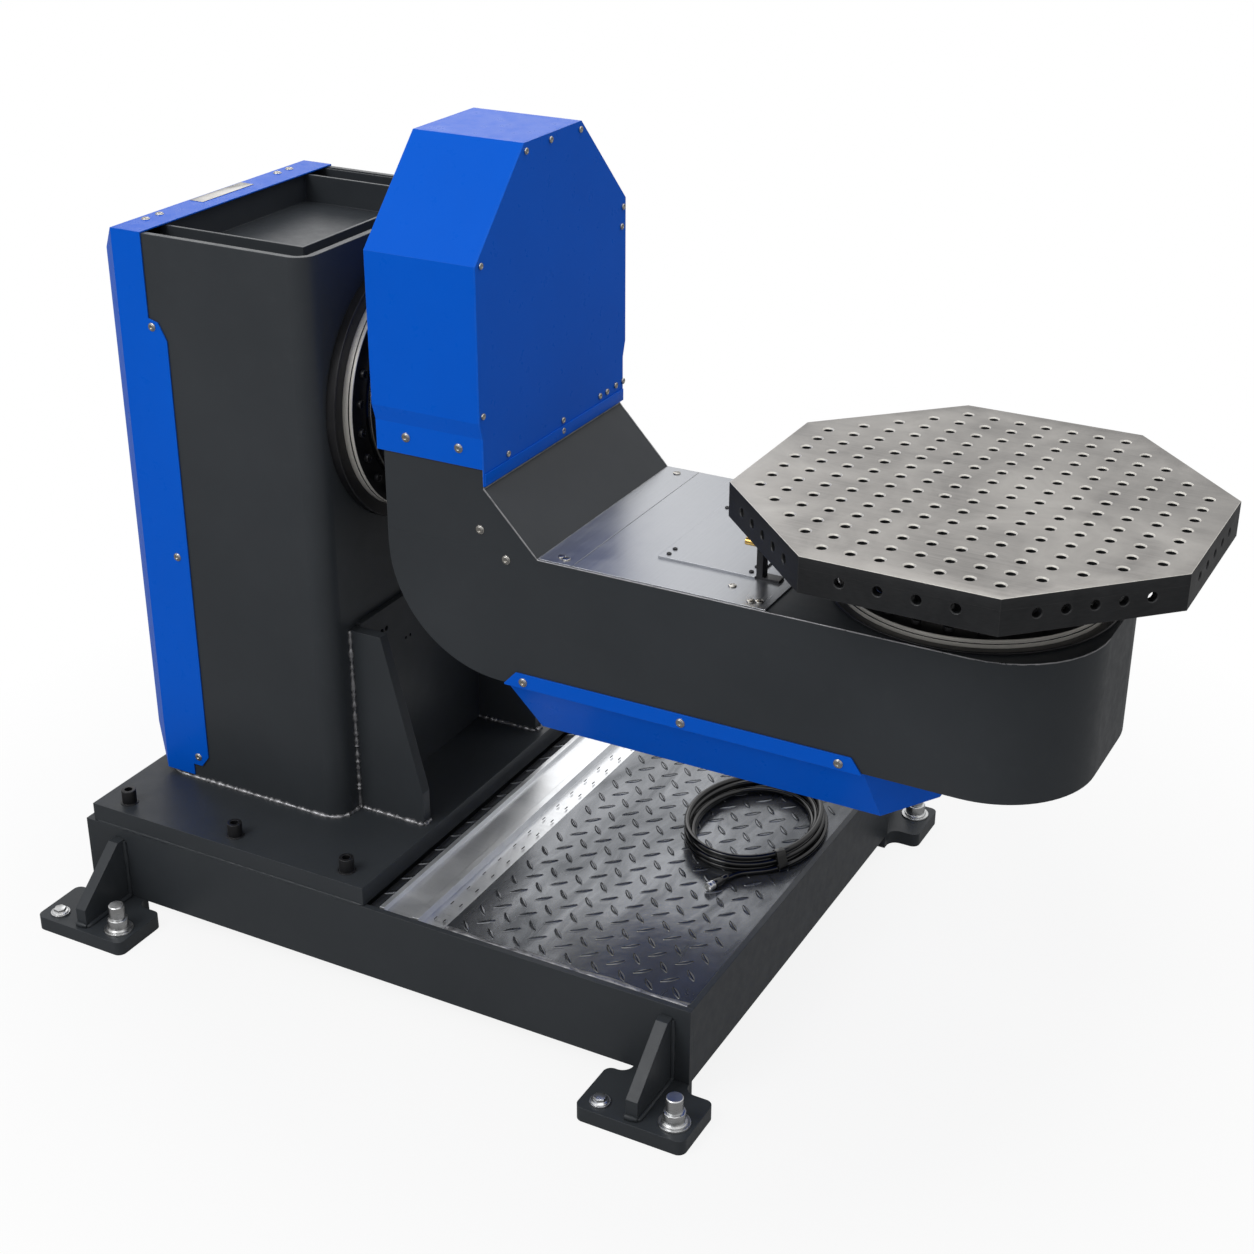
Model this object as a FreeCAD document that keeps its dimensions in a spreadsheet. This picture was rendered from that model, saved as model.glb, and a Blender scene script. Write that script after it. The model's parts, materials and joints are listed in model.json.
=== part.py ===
import FreeCAD, Part
import math
import os
import re

import Sketcher
from FreeCAD import Placement, Rotation, Vector

# Two-axis welding positioner with an L-shaped arm: a column on a floor base tilts the arm about X,
# and the arm carries an octagonal turntable that spins about Z.
# Frame: +X from the column to the turntable, +Z up, floor at Z = 0, origin under the middle of the length.

# Driving sizes in millimetres. Every cell has the size's name as its alias.
SIZES = {
    # base frame and deck
    "base_length": 1390, "base_width": 972, "skirt_height": 160, "skirt_wall": 12,
    "base_front_clear": 300, "beam_width": 60, "beam_height": 120,
    "deck_drop": 10, "deck_thickness": 6, "deck_gap": 2,
    "duct_length_gap": 4, "duct_width": 138, "duct_lip": 12, "duct_wall": 3, "strip_width": 26,
    # feet
    "foot_thickness": 30, "foot_length": 218, "foot_reach": 149, "foot_pad_depth": 127,
    "foot_neck_rear": 67, "foot_neck_front": 47, "foot_tuck": 12, "foot_corner": 16, "foot_fillet": 22,
    "rear_foot_inset": 84, "front_foot_inset": 47,
    "foot_gusset_thickness": 24, "foot_gusset_reach": 134, "foot_gusset_height": 137,
    "foot_gusset_toe": 40, "foot_gusset_land": 20,
    "stud_reach": 106, "anchor_reach": 118, "anchor_offset": 72, "anchor_hole": 20, "anchor_head": 13,
    "anchor_head_height": 9, "anchor_washer": 20, "stud_offset": 71, "stud_radius": 16,
    "stud_rise": 58, "nut_radius": 20, "nut_height": 24, "stud_washer": 30, "washer_thickness": 4,
    "hole_gap": 1,
    # column
    "column_plate_length": 666, "column_plate_setback": 2, "column_plate_thickness": 40,
    "column_plate_inset": 21, "plate_screw_inset_x": 63, "plate_screw_inset_y": 40,
    "plate_screw_head": 15, "plate_screw_head_height": 30, "plate_screw_shank": 10,
    "column_length": 440, "column_width": 600, "column_crown": 318, "column_wall": 12,
    "column_corner": 40, "column_window_margin": 60,
    "tray_depth": 62, "tray_wall": 6, "tray_margin_x": 48, "tray_margin_y": 66, "tray_drop": 2,
    "column_gusset_thickness": 24, "column_gusset_spacing": 444, "column_gusset_height": 401,
    "column_gusset_reach": 155, "column_gusset_land": 72, "column_gusset_toe": 72,
    "front_plate_thickness": 12, "front_plate_height": 408,
    "rear_cover_depth": 70, "rear_cover_taper": 62, "rear_cover_flange": 70, "rear_cover_sheet": 2.5,
    "rear_cover_tab": 40, "rear_cover_tab_height": 950, "rear_cover_floor_gap": 8, "cover_fit": 0.4,
    # slewing bearings with internal teeth, the same on both axes
    "tilt_height": 1072, "tilt_gap": 123, "flange_radius": 266, "flange_thickness": 20,
    "ring_radius": 240, "ring_seat": 20, "ring_width": 40, "race_radius": 190, "race_gap": 0.4,
    "inner_ring_offset": 4, "inner_ring_width": 44, "ring_bolt_circle": 216, "ring_bolt_head": 9,
    "ring_bolt_height": 8, "ring_groove": 3, "gear_module": 5, "ring_teeth": 60, "pinion_teeth": 17,
    "tooth_play": 0.35, "pinion_gap": 5, "pinion_width": 34,
    "drive_plate_thickness": 10, "gearbox_radius": 72, "gearbox_length": 110, "gearbox_flange": 90, "gearbox_flange_thickness": 14,
    "motor_square": 116, "motor_length": 170, "shaft_radius": 20, "shaft_gap": 0.05,
    "hub_radius": 184, "hub_neck": 160, "hub_bore": 60, "hub_flange": 14,
    # arm
    "arm_reach": 1057, "arm_width": 520, "arm_wall": 12, "arm_drop": 185, "arm_depth": 265,
    "arm_nose": 265, "arm_nose_radius": 182, "arm_heel_radius": 240, "arm_neck_length": 212,
    "arm_neck_rise": 240, "top_flange_thickness": 5, "slope_run": 110, "slope_rise": 117,
    "top_plate_thickness": 3, "rear_top_plate_length": 71, "front_top_plate_end": 285,
    "top_opening_margin": 30, "bottom_opening_start": 770, "bottom_opening_end": 40,
    "bottom_opening_width": 380, "access_length": 192, "access_width": 300, "access_start": 546,
    # head cover and counterweight
    "head_length": 230, "head_overlap": 13, "head_width": 546, "head_band_width": 526,
    "head_band_low": 30, "head_band_high": 28, "head_step": 60, "head_shoulder": 345,
    "head_top": 523, "head_top_width": 204, "head_sheet": 2.5, "panel_sheet": 3, "panel_low": 62,
    "counterweight_height": 190, "counterweight_width": 200, "counterweight_length": 180,
    # bottom cover of the arm
    "tray_flange_start": 784, "tray_flange_end": 111, "tray_flange_height": 27, "tray_start": 809,
    "tray_side_end": 91, "tray_end": -31, "tray_end_width": 120, "tray_low_start": 764,
    "tray_low_end": 3, "tray_low_end_width": 176, "tray_low_width": 400, "tray_low_end_inset": 70,
    "tray_hull_depth": 112,
    "tray_sheet": 3,
    # turntable
    "table_flats": 800, "table_corner": 232, "table_height": 64, "table_top": 20, "table_rim": 16,
    "table_boss": 210, "hole_pitch": 50, "hole_radius": 8.5, "grid_half_count": 7,
    "grid_corner_step": 10, "side_hole_pitch": 65, "side_hole_drop": 32, "locating_index": 3,
    # earth post beside the turntable
    "post_width": 12, "post_height": 78, "post_foot": 44, "post_distance": 352, "post_offset": 138,
    "brass_radius": 7, "brass_length": 26,
    # cable
    "cable_radius": 6, "coil_radius": 125, "coil_straight": 80, "coil_width": 46, "coil_height": 54,
    "coil_inset": 347,
    "gland_radius": 13, "gland_height": 24, "plug_radius": 10, "plug_length": 52,
}

# Places worked out from the driving sizes.
PLACES = {
    "rear_reach": "base_front_clear + base_length - rear_foot_inset + foot_length / 2",
    "axis_x": "(rear_reach - table_flats / 2) / 2",
    "base_end": "axis_x - base_front_clear",
    "base_start": "base_end - base_length",
    "skirt_top": "foot_thickness + skirt_height",
    "deck_top": "skirt_top - deck_drop",
    "front_foot_x": "base_end - front_foot_inset",
    "rear_foot_x": "base_start + rear_foot_inset",
    "foot_edge": "base_width / 2 + foot_reach",
    "anchor_y": "base_width / 2 + anchor_reach",
    "stud_y": "base_width / 2 + stud_reach",
    "plate_start": "base_start + column_plate_inset",
    "plate_end": "plate_start + column_plate_length",
    "plate_top": "skirt_top + column_plate_thickness",
    "arm_back": "axis_x - arm_reach",
    "column_front": "arm_back - tilt_gap",
    "column_back": "column_front - column_length",
    "column_top": "tilt_height + column_crown",
    "gusset_y": "column_gusset_spacing / 2",
    "table_z": "tilt_height",
    "table_low": "table_z - table_height",
    "arm_top": "table_z - arm_drop",
    "arm_low": "arm_top - arm_depth",
    "arm_neck_front": "arm_back + arm_neck_length",
    "slope_foot": "arm_neck_front + slope_run",
    "slope_top": "arm_top + slope_rise",
    "head_back": "arm_back - head_overlap",
    "head_front": "head_back + head_length",
    "duct_start": "plate_end + strip_width + deck_gap",
    "duct_end": "duct_start + duct_width",
    "deck_start": "duct_end + deck_gap",
    "deck_end": "base_end - skirt_wall - deck_gap",
    "deck_half": "base_width / 2 - skirt_wall - deck_gap",
    "gear_centres": "gear_module * (ring_teeth - pinion_teeth) / 2",
    "tray_bottom": "arm_low - tray_hull_depth",
}

doc = FreeCAD.newDocument("welding_positioner")
sheet = doc.addObject("Spreadsheet::Sheet", "Sizes")
for row, (name, value) in enumerate(SIZES.items(), 1):
    sheet.set(f"A{row}", str(value))
    sheet.setAlias(f"A{row}", name)
doc.recompute()


def bind(text):
    """Turns names of sizes and places in an expression into cells of the sheet."""
    def swap(match):
        word = match.group()
        if word in PLACES:
            return f"({bind(PLACES[word])})"
        return f"Sizes.{word}" if word in SIZES else word
    return re.sub(r"[a-z_][a-z_0-9]*", swap, str(text))


def size(text):
    return float(sheet.evalExpression(bind(text)))


def drive(thing, **links):
    """Binds properties to expressions; a double underscore stands for a dot."""
    for name, text in links.items():
        thing.setExpression(name.replace("__", "."), bind(text))
    return thing


def body(label):
    made = doc.addObject("PartDesign::Body", label)
    made.Label = label
    return made


def sketch(owner, plane, offset="0"):
    made = owner.newObject("Sketcher::SketchObject", "Sketch")
    role = next(f for f in owner.Origin.OriginFeatures if f.Role == plane + "_Plane")
    made.AttachmentSupport = [(role, "")]
    made.MapMode = "FlatFace"
    return drive(made, AttachmentOffset__Base__z=offset)


def pin(made, geometry, vertex, place):
    """Holds one point of a sketch at a bound place measured from the sketch's origin."""
    for kind, text in zip(("DistanceX", "DistanceY"), place):
        at = made.addConstraint(Sketcher.Constraint(kind, -1, 1, geometry, vertex, size(text)))
        made.setExpression(f"Constraints[{at}]", bind(text))


def polygon(made, places):
    """Adds a closed outline whose corners are bound places."""
    first = made.GeometryCount
    corners = [Vector(size(x), size(y), 0) for x, y in places]
    count = len(corners)
    lines = [Part.LineSegment(corners[i], corners[(i + 1) % count]) for i in range(count)]
    made.addGeometry(lines)
    joins = [Sketcher.Constraint("Coincident", first + i, 2, first + (i + 1) % count, 1) for i in range(count)]
    made.addConstraint(joins)
    for i, place in enumerate(places):
        pin(made, first + i, 1, place)
    return made


def rectangle(made, x0, y0, x1, y1):
    return polygon(made, [(x0, y0), (x1, y0), (x1, y1), (x0, y1)])


def circle(made, x, y, radius):
    at = made.addGeometry(Part.Circle(Vector(size(x), size(y), 0), Vector(0, 0, 1), size(radius)))
    rule = made.addConstraint(Sketcher.Constraint("Radius", at, size(radius)))
    made.setExpression(f"Constraints[{rule}]", bind(radius))
    pin(made, at, 3, (x, y))
    return made


def pad(owner, profile, length, middle=False, back=False):
    made = owner.newObject("PartDesign::Pad", "Pad")
    made.Profile = profile
    made.SideType = "Symmetric" if middle else "One side"
    made.Reversed = back
    return drive(made, Length=length)


def pocket(owner, profile, length, middle=False, back=False):
    made = owner.newObject("PartDesign::Pocket", "Pocket")
    made.Profile = profile
    made.SideType = "Symmetric" if middle else "One side"
    made.Reversed = back
    return drive(made, Length=length)


def round_edges(owner, radius, *places):
    """Fillets the edges whose middles lie at the given places; None leaves a coordinate free."""
    doc.recompute()
    tip = owner.Tip
    names = []
    for i, edge in enumerate(tip.Shape.Edges, 1):
        middle = edge.CenterOfMass
        for place in places:
            if all(want is None or abs(size(want) - have) < 0.05 for want, have in zip(place, middle)):
                names.append(f"Edge{i}")
    made = owner.newObject("PartDesign::Fillet", "Fillet")
    made.Base = (tip, names)
    return drive(made, Radius=radius)


def plate(label, plane, places, start, thickness):
    """A flat piece: an outline on an origin plane, padded from start along the plane's normal."""
    made = body(label)
    pad(made, polygon(sketch(made, plane, start), places), thickness)
    return made


def box(label, x0, x1, y0, y1, z0, z1):
    made = doc.addObject("Part::Box", label)
    made.Label = label
    drive(made, Length=f"{x1} - ({x0})", Width=f"{y1} - ({y0})", Height=f"{z1} - ({z0})")
    return drive(made, Placement__Base__x=x0, Placement__Base__y=y0, Placement__Base__z=z0)


TURNS = {"Z": Rotation(), "X": Rotation(Vector(0, 1, 0), 90), "Y": Rotation(Vector(1, 0, 0), -90)}


def cylinder(label, radius, height, x, y, z, along="Z"):
    made = doc.addObject("Part::Cylinder", label)
    made.Label = label
    made.Placement = Placement(Vector(), TURNS[along])
    drive(made, Radius=radius, Height=height)
    return drive(made, Placement__Base__x=x, Placement__Base__y=y, Placement__Base__z=z)


def hexagon(label, radius, height, x, y, z, along="Z"):
    made = doc.addObject("Part::Prism", label)
    made.Label = label
    made.Polygon = 6
    made.Placement = Placement(Vector(), TURNS[along])
    drive(made, Circumradius=radius, Height=height)
    return drive(made, Placement__Base__x=x, Placement__Base__y=y, Placement__Base__z=z)


def fuse(label, *pieces):
    made = doc.addObject("Part::MultiFuse", label)
    made.Label = label
    made.Shapes = list(pieces)
    made.Refine = True
    return made


def cut(label, base, *tools):
    made = doc.addObject("Part::Cut", label)
    made.Label = label
    made.Base = base
    made.Tool = tools[0] if len(tools) == 1 else fuse(label + "_tools", *tools)
    return made


def common(label, base, tool):
    made = doc.addObject("Part::Common", label)
    made.Base, made.Tool = base, tool
    return made


def group(label, pieces):
    made = doc.addObject("Part::Compound", label)
    made.Label = label
    made.Links = list(pieces)
    return made


def feature(label, shape, placement=None):
    made = doc.addObject("Part::Feature", label)
    made.Label = label
    made.Shape = shape
    made.Placement = placement or Placement()
    return made


NODES = []


def node(piece):
    NODES.append(piece)
    return piece


# ---------------------------------------------------------------- base frame, deck and feet
HALF = "base_width / 2"
side_plates = [
    box(f"side_plate_{i}", "base_start", "base_end", y0, y1, "foot_thickness", "skirt_top")
    for i, (y0, y1) in enumerate(((f"-{HALF}", f"skirt_wall - {HALF}"), (f"{HALF} - skirt_wall", HALF)))
]
node(group("base_side_plates", side_plates))
end_plates = [
    box(f"end_plate_{i}", x0, x1, f"skirt_wall - {HALF}", f"{HALF} - skirt_wall", "foot_thickness", "skirt_top")
    for i, (x0, x1) in enumerate((("base_start", "base_start + skirt_wall"), ("base_end - skirt_wall", "base_end")))
]
node(group("base_end_plates", end_plates))

BEAMS = {"rear": "plate_start + 120", "middle": "plate_end - 90", "front": "(deck_start + deck_end) / 2"}
beams = []
for name, x in BEAMS.items():
    beam = body(f"{name}_beam")
    channel = [("0", "0"), ("beam_width", "0"), ("beam_width", "skirt_wall / 2"), ("skirt_wall / 2", "skirt_wall / 2"),
               ("skirt_wall / 2", "beam_height - skirt_wall / 2"), ("beam_width", "beam_height - skirt_wall / 2"),
               ("beam_width", "beam_height"), ("0", "beam_height")]
    low = "skirt_top - beam_height" if name != "front" else "deck_top - deck_thickness - beam_height"
    places = [(f"{x} + {u}", f"{low} + {v}") for u, v in channel]
    pad(beam, polygon(sketch(beam, "XZ"), places), "base_width - 2 * skirt_wall", middle=True)
    beams.append(beam)
node(group("base_crossbeams", beams))

node(box("deck_plate", "deck_start", "deck_end", "-deck_half", "deck_half", "deck_top - deck_thickness", "deck_top"))
node(box("deck_strip", "plate_end + deck_gap / 2", "plate_end + strip_width", "-deck_half", "deck_half",
         "deck_top - deck_thickness", "deck_top"))

# Folded cable duct: a narrow upstand, a shallow lid, a second upstand and a flat flange beside the deck.
duct = body("cable_duct")
DUCT = [("0", "-deck_thickness"), ("duct_width", "-deck_thickness"), ("duct_width", "-deck_thickness + duct_wall"),
        ("duct_width - 46", "-deck_thickness + duct_wall"), ("duct_width - 48", "duct_lip"),
        ("duct_width - 62", "duct_lip"), ("duct_width - 64", "duct_wall"), ("duct_lip + 2", "duct_wall"),
        ("duct_lip", "duct_lip"), ("2", "duct_lip")]
duct_sketch = polygon(sketch(duct, "XZ"), [(f"duct_start + {u}", f"deck_top + {v}") for u, v in DUCT])
pad(duct, duct_sketch, "base_width - 2 * skirt_wall - duct_length_gap", middle=True)
node(duct)

CORNERS = [(x, side) for x in ("rear_foot_x", "front_foot_x") for side in (-1, 1)]
foot_plates = []
gussets = []
anchor_bolts, anchor_washers, studs, nuts, stud_washers = [], [], [], [], []
for i, (x, side) in enumerate(CORNERS):
    foot = body(f"foot_plate_{i}")
    edge, shoulder, tuck = "foot_edge", "foot_edge - foot_pad_depth", f"{HALF} - foot_tuck"
    outline = [("-foot_length / 2", edge), ("foot_length / 2", edge), ("foot_length / 2", shoulder),
               ("foot_neck_front", shoulder), ("foot_neck_front", tuck), ("-foot_neck_rear", tuck),
               ("-foot_neck_rear", shoulder), ("-foot_length / 2", shoulder)]
    shape = polygon(sketch(foot, "XY"), [(f"{x} + {u}", f"{side} * ({v})") for u, v in outline])
    pad(foot, shape, "foot_thickness")
    outer = [(f"{x} + {u}", f"{side} * ({v})", None) for u, v in outline[:3] + outline[-1:]]
    inner = [(f"{x} + {u}", f"{side} * ({v})", None) for u, v in (outline[3], outline[6])]
    round_edges(foot, "foot_corner", *outer)
    round_edges(foot, "foot_fillet", *inner)
    holes = sketch(foot, "XY")
    circle(holes, f"{x} - anchor_offset", f"{side} * anchor_y", "anchor_hole / 2 + hole_gap")
    circle(holes, f"{x} + stud_offset", f"{side} * stud_y", "stud_radius + hole_gap")
    pocket(foot, holes, "foot_thickness", back=True)
    foot_plates.append(foot)

    gusset = body(f"foot_gusset_{i}")
    wall, toe = f"{side} * {HALF}", f"{side} * ({HALF} + foot_gusset_reach)"
    top = "foot_thickness + foot_gusset_height"
    profile = [(wall, "foot_thickness"), (toe, "foot_thickness"), (toe, "foot_thickness + foot_gusset_toe"),
               (f"{side} * ({HALF} + foot_gusset_land)", top), (wall, top)]
    rib = polygon(sketch(gusset, "YZ", x), profile)
    pad(gusset, rib, "foot_gusset_thickness", middle=True)
    gussets.append(gusset)

    ax, ay, sx, sy = f"{x} - anchor_offset", f"{side} * anchor_y", f"{x} + stud_offset", f"{side} * stud_y"
    seat = "foot_thickness + washer_thickness"
    shank = cylinder(f"anchor_shank_{i}", "anchor_hole / 2", seat, ax, ay, "0")
    head = hexagon(f"anchor_head_{i}", "anchor_head", "anchor_head_height", ax, ay, seat)
    anchor_bolts.append(fuse(f"anchor_bolt_{i}", shank, head))
    ring = cylinder(f"anchor_ring_{i}", "anchor_washer", "washer_thickness", ax, ay, "foot_thickness")
    bore = cylinder(f"anchor_bore_{i}", "anchor_hole / 2", "washer_thickness", ax, ay, "foot_thickness")
    anchor_washers.append(cut(f"anchor_washer_{i}", ring, bore))
    studs.append(cylinder(f"levelling_stud_{i}", "stud_radius", "foot_thickness + stud_rise", sx, sy, "0"))
    nut = hexagon(f"nut_block_{i}", "nut_radius + 3", "nut_height", sx, sy, seat)
    thread = cylinder(f"nut_bore_{i}", "stud_radius", "nut_height", sx, sy, seat)
    nuts.append(cut(f"levelling_nut_{i}", nut, thread))
    ring = cylinder(f"stud_ring_{i}", "stud_washer", "washer_thickness", sx, sy, "foot_thickness")
    bore = cylinder(f"stud_bore_{i}", "stud_radius", "washer_thickness", sx, sy, "foot_thickness")
    stud_washers.append(cut(f"stud_washer_{i}", ring, bore))
node(group("foot_plates", foot_plates))
node(group("foot_gussets", gussets))
node(group("anchor_bolts", anchor_bolts))
node(group("anchor_washers", anchor_washers))
node(group("levelling_studs", studs))
node(group("levelling_nuts", nuts))
node(group("levelling_washers", stud_washers))

# ---------------------------------------------------------------- column
PLATE_HALF = "(base_width / 2 - column_plate_setback)"
base_plate = body("column_base_plate")
pad(base_plate, rectangle(sketch(base_plate, "XY", "skirt_top"), "plate_start", f"-{PLATE_HALF}", "plate_end",
                          PLATE_HALF), "column_plate_thickness")
SCREW_X = ["plate_start + plate_screw_inset_x", "(plate_start + plate_end) / 2", "plate_end - plate_screw_inset_x"]
SCREWS = [(x, f"{side} * ({PLATE_HALF} - plate_screw_inset_y)") for x in SCREW_X for side in (-1, 1)]
holes = sketch(base_plate, "XY", "plate_top")
plate_screws = []
for i, (x, y) in enumerate(SCREWS):
    circle(holes, x, y, "plate_screw_shank + hole_gap")
    shank = cylinder(f"screw_shank_{i}", "plate_screw_shank", "column_plate_thickness", x, y, "skirt_top")
    head = cylinder(f"screw_head_{i}", "plate_screw_head", "plate_screw_head_height", x, y, "plate_top")
    socket = hexagon(f"screw_socket_{i}", "plate_screw_head * 0.55", "plate_screw_head_height / 2", x, y,
                     "plate_top + plate_screw_head_height / 2")
    plate_screws.append(cut(f"plate_screw_{i}", fuse(f"screw_solid_{i}", shank, head), socket))
pocket(base_plate, holes, "column_plate_thickness")
node(base_plate)
node(group("column_plate_screws", plate_screws))

# The column is a tube with round corners, bored for the tilt drive, open at the top and at the back.
COL_HALF = "column_width / 2"
tube = body("column_tube")
rectangle_low = rectangle(sketch(tube, "XY", "plate_top"), "column_back", f"-{COL_HALF}", "column_front", COL_HALF)
pad(tube, rectangle_low, "column_top - plate_top")
corners = [(x, f"{side} * {COL_HALF}", None) for x in ("column_front", "column_back") for side in (-1, 1)]
round_edges(tube, "column_corner", *corners)
inside = rectangle(sketch(tube, "XY", "column_top"), "column_back + column_wall", f"column_wall - {COL_HALF}",
                   "column_front - column_wall", f"{COL_HALF} - column_wall")
pocket(tube, inside, "column_top - plate_top")
inner_corners = [(x, f"{side} * ({COL_HALF} - column_wall)", None)
                 for x in ("column_front - column_wall", "column_back + column_wall") for side in (-1, 1)]
round_edges(tube, "column_corner - column_wall", *inner_corners)
window = rectangle(sketch(tube, "YZ", "column_back"), f"column_window_margin - {COL_HALF}",
                   "plate_top + column_window_margin", f"{COL_HALF} - column_window_margin",
                   "column_top - column_window_margin - tray_depth")
pocket(tube, window, "column_wall", back=True)
bore = circle(sketch(tube, "YZ", "column_front"), "0", "tilt_height", "race_radius - 22")
pocket(tube, bore, "column_wall")
node(tube)

# Pressed tray that closes the column's top, sunk below the rim.
tray = body("column_top_tray")
TRAY = ["column_back + column_wall + cover_fit", f"column_wall + cover_fit - {COL_HALF}",
        "column_front - column_wall - cover_fit", f"{COL_HALF} - column_wall - cover_fit"]
tray_low = "column_top - tray_drop - tray_depth"
pad(tray, rectangle(sketch(tray, "XY", tray_low), *TRAY), "tray_depth")
rim_corners = [(x, y, None) for x in (TRAY[0], TRAY[2]) for y in (TRAY[1], TRAY[3])]
round_edges(tray, "column_corner - column_wall", *rim_corners)
well = rectangle(sketch(tray, "XY", "column_top - tray_drop"), f"{TRAY[0]} + tray_margin_x",
                 f"{TRAY[1]} + tray_margin_y", f"{TRAY[2]} - tray_margin_x", f"{TRAY[3]} - tray_margin_y")
pocket(tray, well, "tray_depth - tray_wall")
trough = rectangle(sketch(tray, "XY", "column_top - tray_drop"), f"{TRAY[0]} + tray_wall", f"{TRAY[1]} + tray_wall",
                   f"{TRAY[2]} - tray_wall", f"{TRAY[3]} - tray_wall")
rectangle(trough, f"{TRAY[0]} + tray_margin_x - tray_wall", f"{TRAY[1]} + tray_margin_y - tray_wall",
          f"{TRAY[2]} - tray_margin_x + tray_wall", f"{TRAY[3]} - tray_margin_y + tray_wall")
pocket(tray, trough, "tray_depth / 3")
node(tray)

stiffeners = []
for i, side in enumerate((-1, 1)):
    rib = body(f"column_gusset_{i}")
    root = "column_front"
    top = "plate_top + column_gusset_height"
    profile = [(root, "plate_top"), (f"{root} + column_gusset_reach", "plate_top"),
               (f"{root} + column_gusset_reach", "plate_top + column_gusset_toe"),
               (f"{root} + column_gusset_land", top), (root, top)]
    offset = f"-({side}) * gusset_y - column_gusset_thickness / 2"
    pad(rib, polygon(sketch(rib, "XZ", offset), profile), "column_gusset_thickness")
    stiffeners.append(rib)
node(group("column_gussets", stiffeners))

front = body("column_front_plate")
PANEL_HALF = "gusset_y - column_gusset_thickness / 2"
face = rectangle(sketch(front, "YZ", "column_front"), f"-({PANEL_HALF})", "plate_top", PANEL_HALF,
                 "plate_top + front_plate_height")
pad(front, face, "front_plate_thickness")
taps = sketch(front, "YZ", "column_front + front_plate_thickness")
for y, drop, radius in ((-142, 46, 5.5), (-126, 46, 5.5), (-142, 86, 6), (126, 46, 5.5), (142, 46, 5.5), (142, 86, 6),
                        (-60, 96, 3.5), (-44, 96, 3.5), (44, 96, 3.5), (60, 96, 3.5)):
    circle(taps, str(y), f"plate_top + front_plate_height - {drop}", str(radius))
pocket(front, taps, "front_plate_thickness")
node(front)

# Sheet cover over the column's back: two side flanges and a hull that tapers on all four edges.
SHEET = "rear_cover_sheet"
cover_half = f"{COL_HALF} + cover_fit + {SHEET}"
cover_low = "plate_top + rear_cover_floor_gap"
cover_high = "column_top + cover_fit"
cover = doc.addObject("Part::Wedge", "rear_hull")
hollow = doc.addObject("Part::Wedge", "rear_hollow")
for made, wall in ((cover, "0"), (hollow, SHEET)):
    made.Placement = Placement(Vector(), Rotation(Vector(0, 0, 1), 90))
    drive(made, Xmin=f"{wall} - ({cover_half})", Xmax=f"{cover_half} - {wall}", Zmin=f"{cover_low} + {wall}",
          Zmax=f"{cover_high} + {SHEET} - {wall}", Ymin="0", Ymax=f"rear_cover_depth - {wall}",
          X2min=f"{wall} + rear_cover_taper - ({cover_half})", X2max=f"{cover_half} - {wall} - rear_cover_taper",
          Z2min=f"{cover_low} + rear_cover_taper + {wall}", Z2max=f"{cover_high} - rear_cover_taper + {SHEET} - {wall}")
    drive(made, Placement__Base__x="column_back")
flanges = []
for i, side in enumerate((-1, 1)):
    flange = body(f"rear_flange_{i}")
    tab = "column_back + rear_cover_flange + rear_cover_tab"
    end = "column_back + rear_cover_flange"
    profile = [("column_back", cover_low), (end, cover_low), (end, f"{cover_low} + 26"), (f"{end} + 22", f"{cover_low} + 26"),
               (tab, f"{cover_low} + 50"), (tab, f"{cover_low} + rear_cover_tab_height"),
               (f"{end} + 22", f"{cover_low} + rear_cover_tab_height + 34"),
               (end, f"{cover_low} + rear_cover_tab_height + 40"), (end, f"{cover_high} + {SHEET}"),
               ("column_back", f"{cover_high} + {SHEET}")]
    offset = f"{COL_HALF} + cover_fit" if side < 0 else f"-({COL_HALF} + cover_fit + {SHEET})"
    pad(flange, polygon(sketch(flange, "XZ", offset), profile), SHEET)
    flanges.append(flange)
top_strip = box("rear_top_strip", "column_back", "column_back + rear_cover_flange", f"-({cover_half})", cover_half,
                cover_high, f"{cover_high} + {SHEET}")
hull = cut("rear_hull_shell", cover, hollow)
node(fuse("column_rear_cover", hull, *flanges, top_strip))

# ---------------------------------------------------------------- slewing bearings and their gears
def tooth_half_angle(radius, teeth, play):
    """Half the angle that one involute tooth spans at a radius."""
    pitch_radius = size("gear_module") * teeth / 2
    base_radius = pitch_radius * math.cos(math.radians(20))
    def involute(r):
        angle = math.acos(min(1, base_radius / r))
        return math.tan(angle) - angle
    return math.pi / (2 * teeth) + play / pitch_radius + involute(pitch_radius) - involute(max(radius, base_radius))


def gear_face(teeth, addendum, dedendum, play):
    """Outline of an external gear with one tooth centred on +X; play thickens or thins every tooth."""
    module = size("gear_module")
    pitch_radius = module * teeth / 2
    radii = [pitch_radius - dedendum * module, pitch_radius - module / 3, pitch_radius + module / 3,
             pitch_radius + addendum * module]
    points = []
    for i in range(teeth):
        middle = 2 * math.pi * i / teeth
        for direction, order in ((-1, radii), (1, radii[::-1])):
            for r in order:
                angle = middle + direction * tooth_half_angle(r, teeth, play)
                points.append(Vector(r * math.cos(angle), r * math.sin(angle), 0))
    return Part.Face(Part.makePolygon(points + points[:1]))


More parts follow.
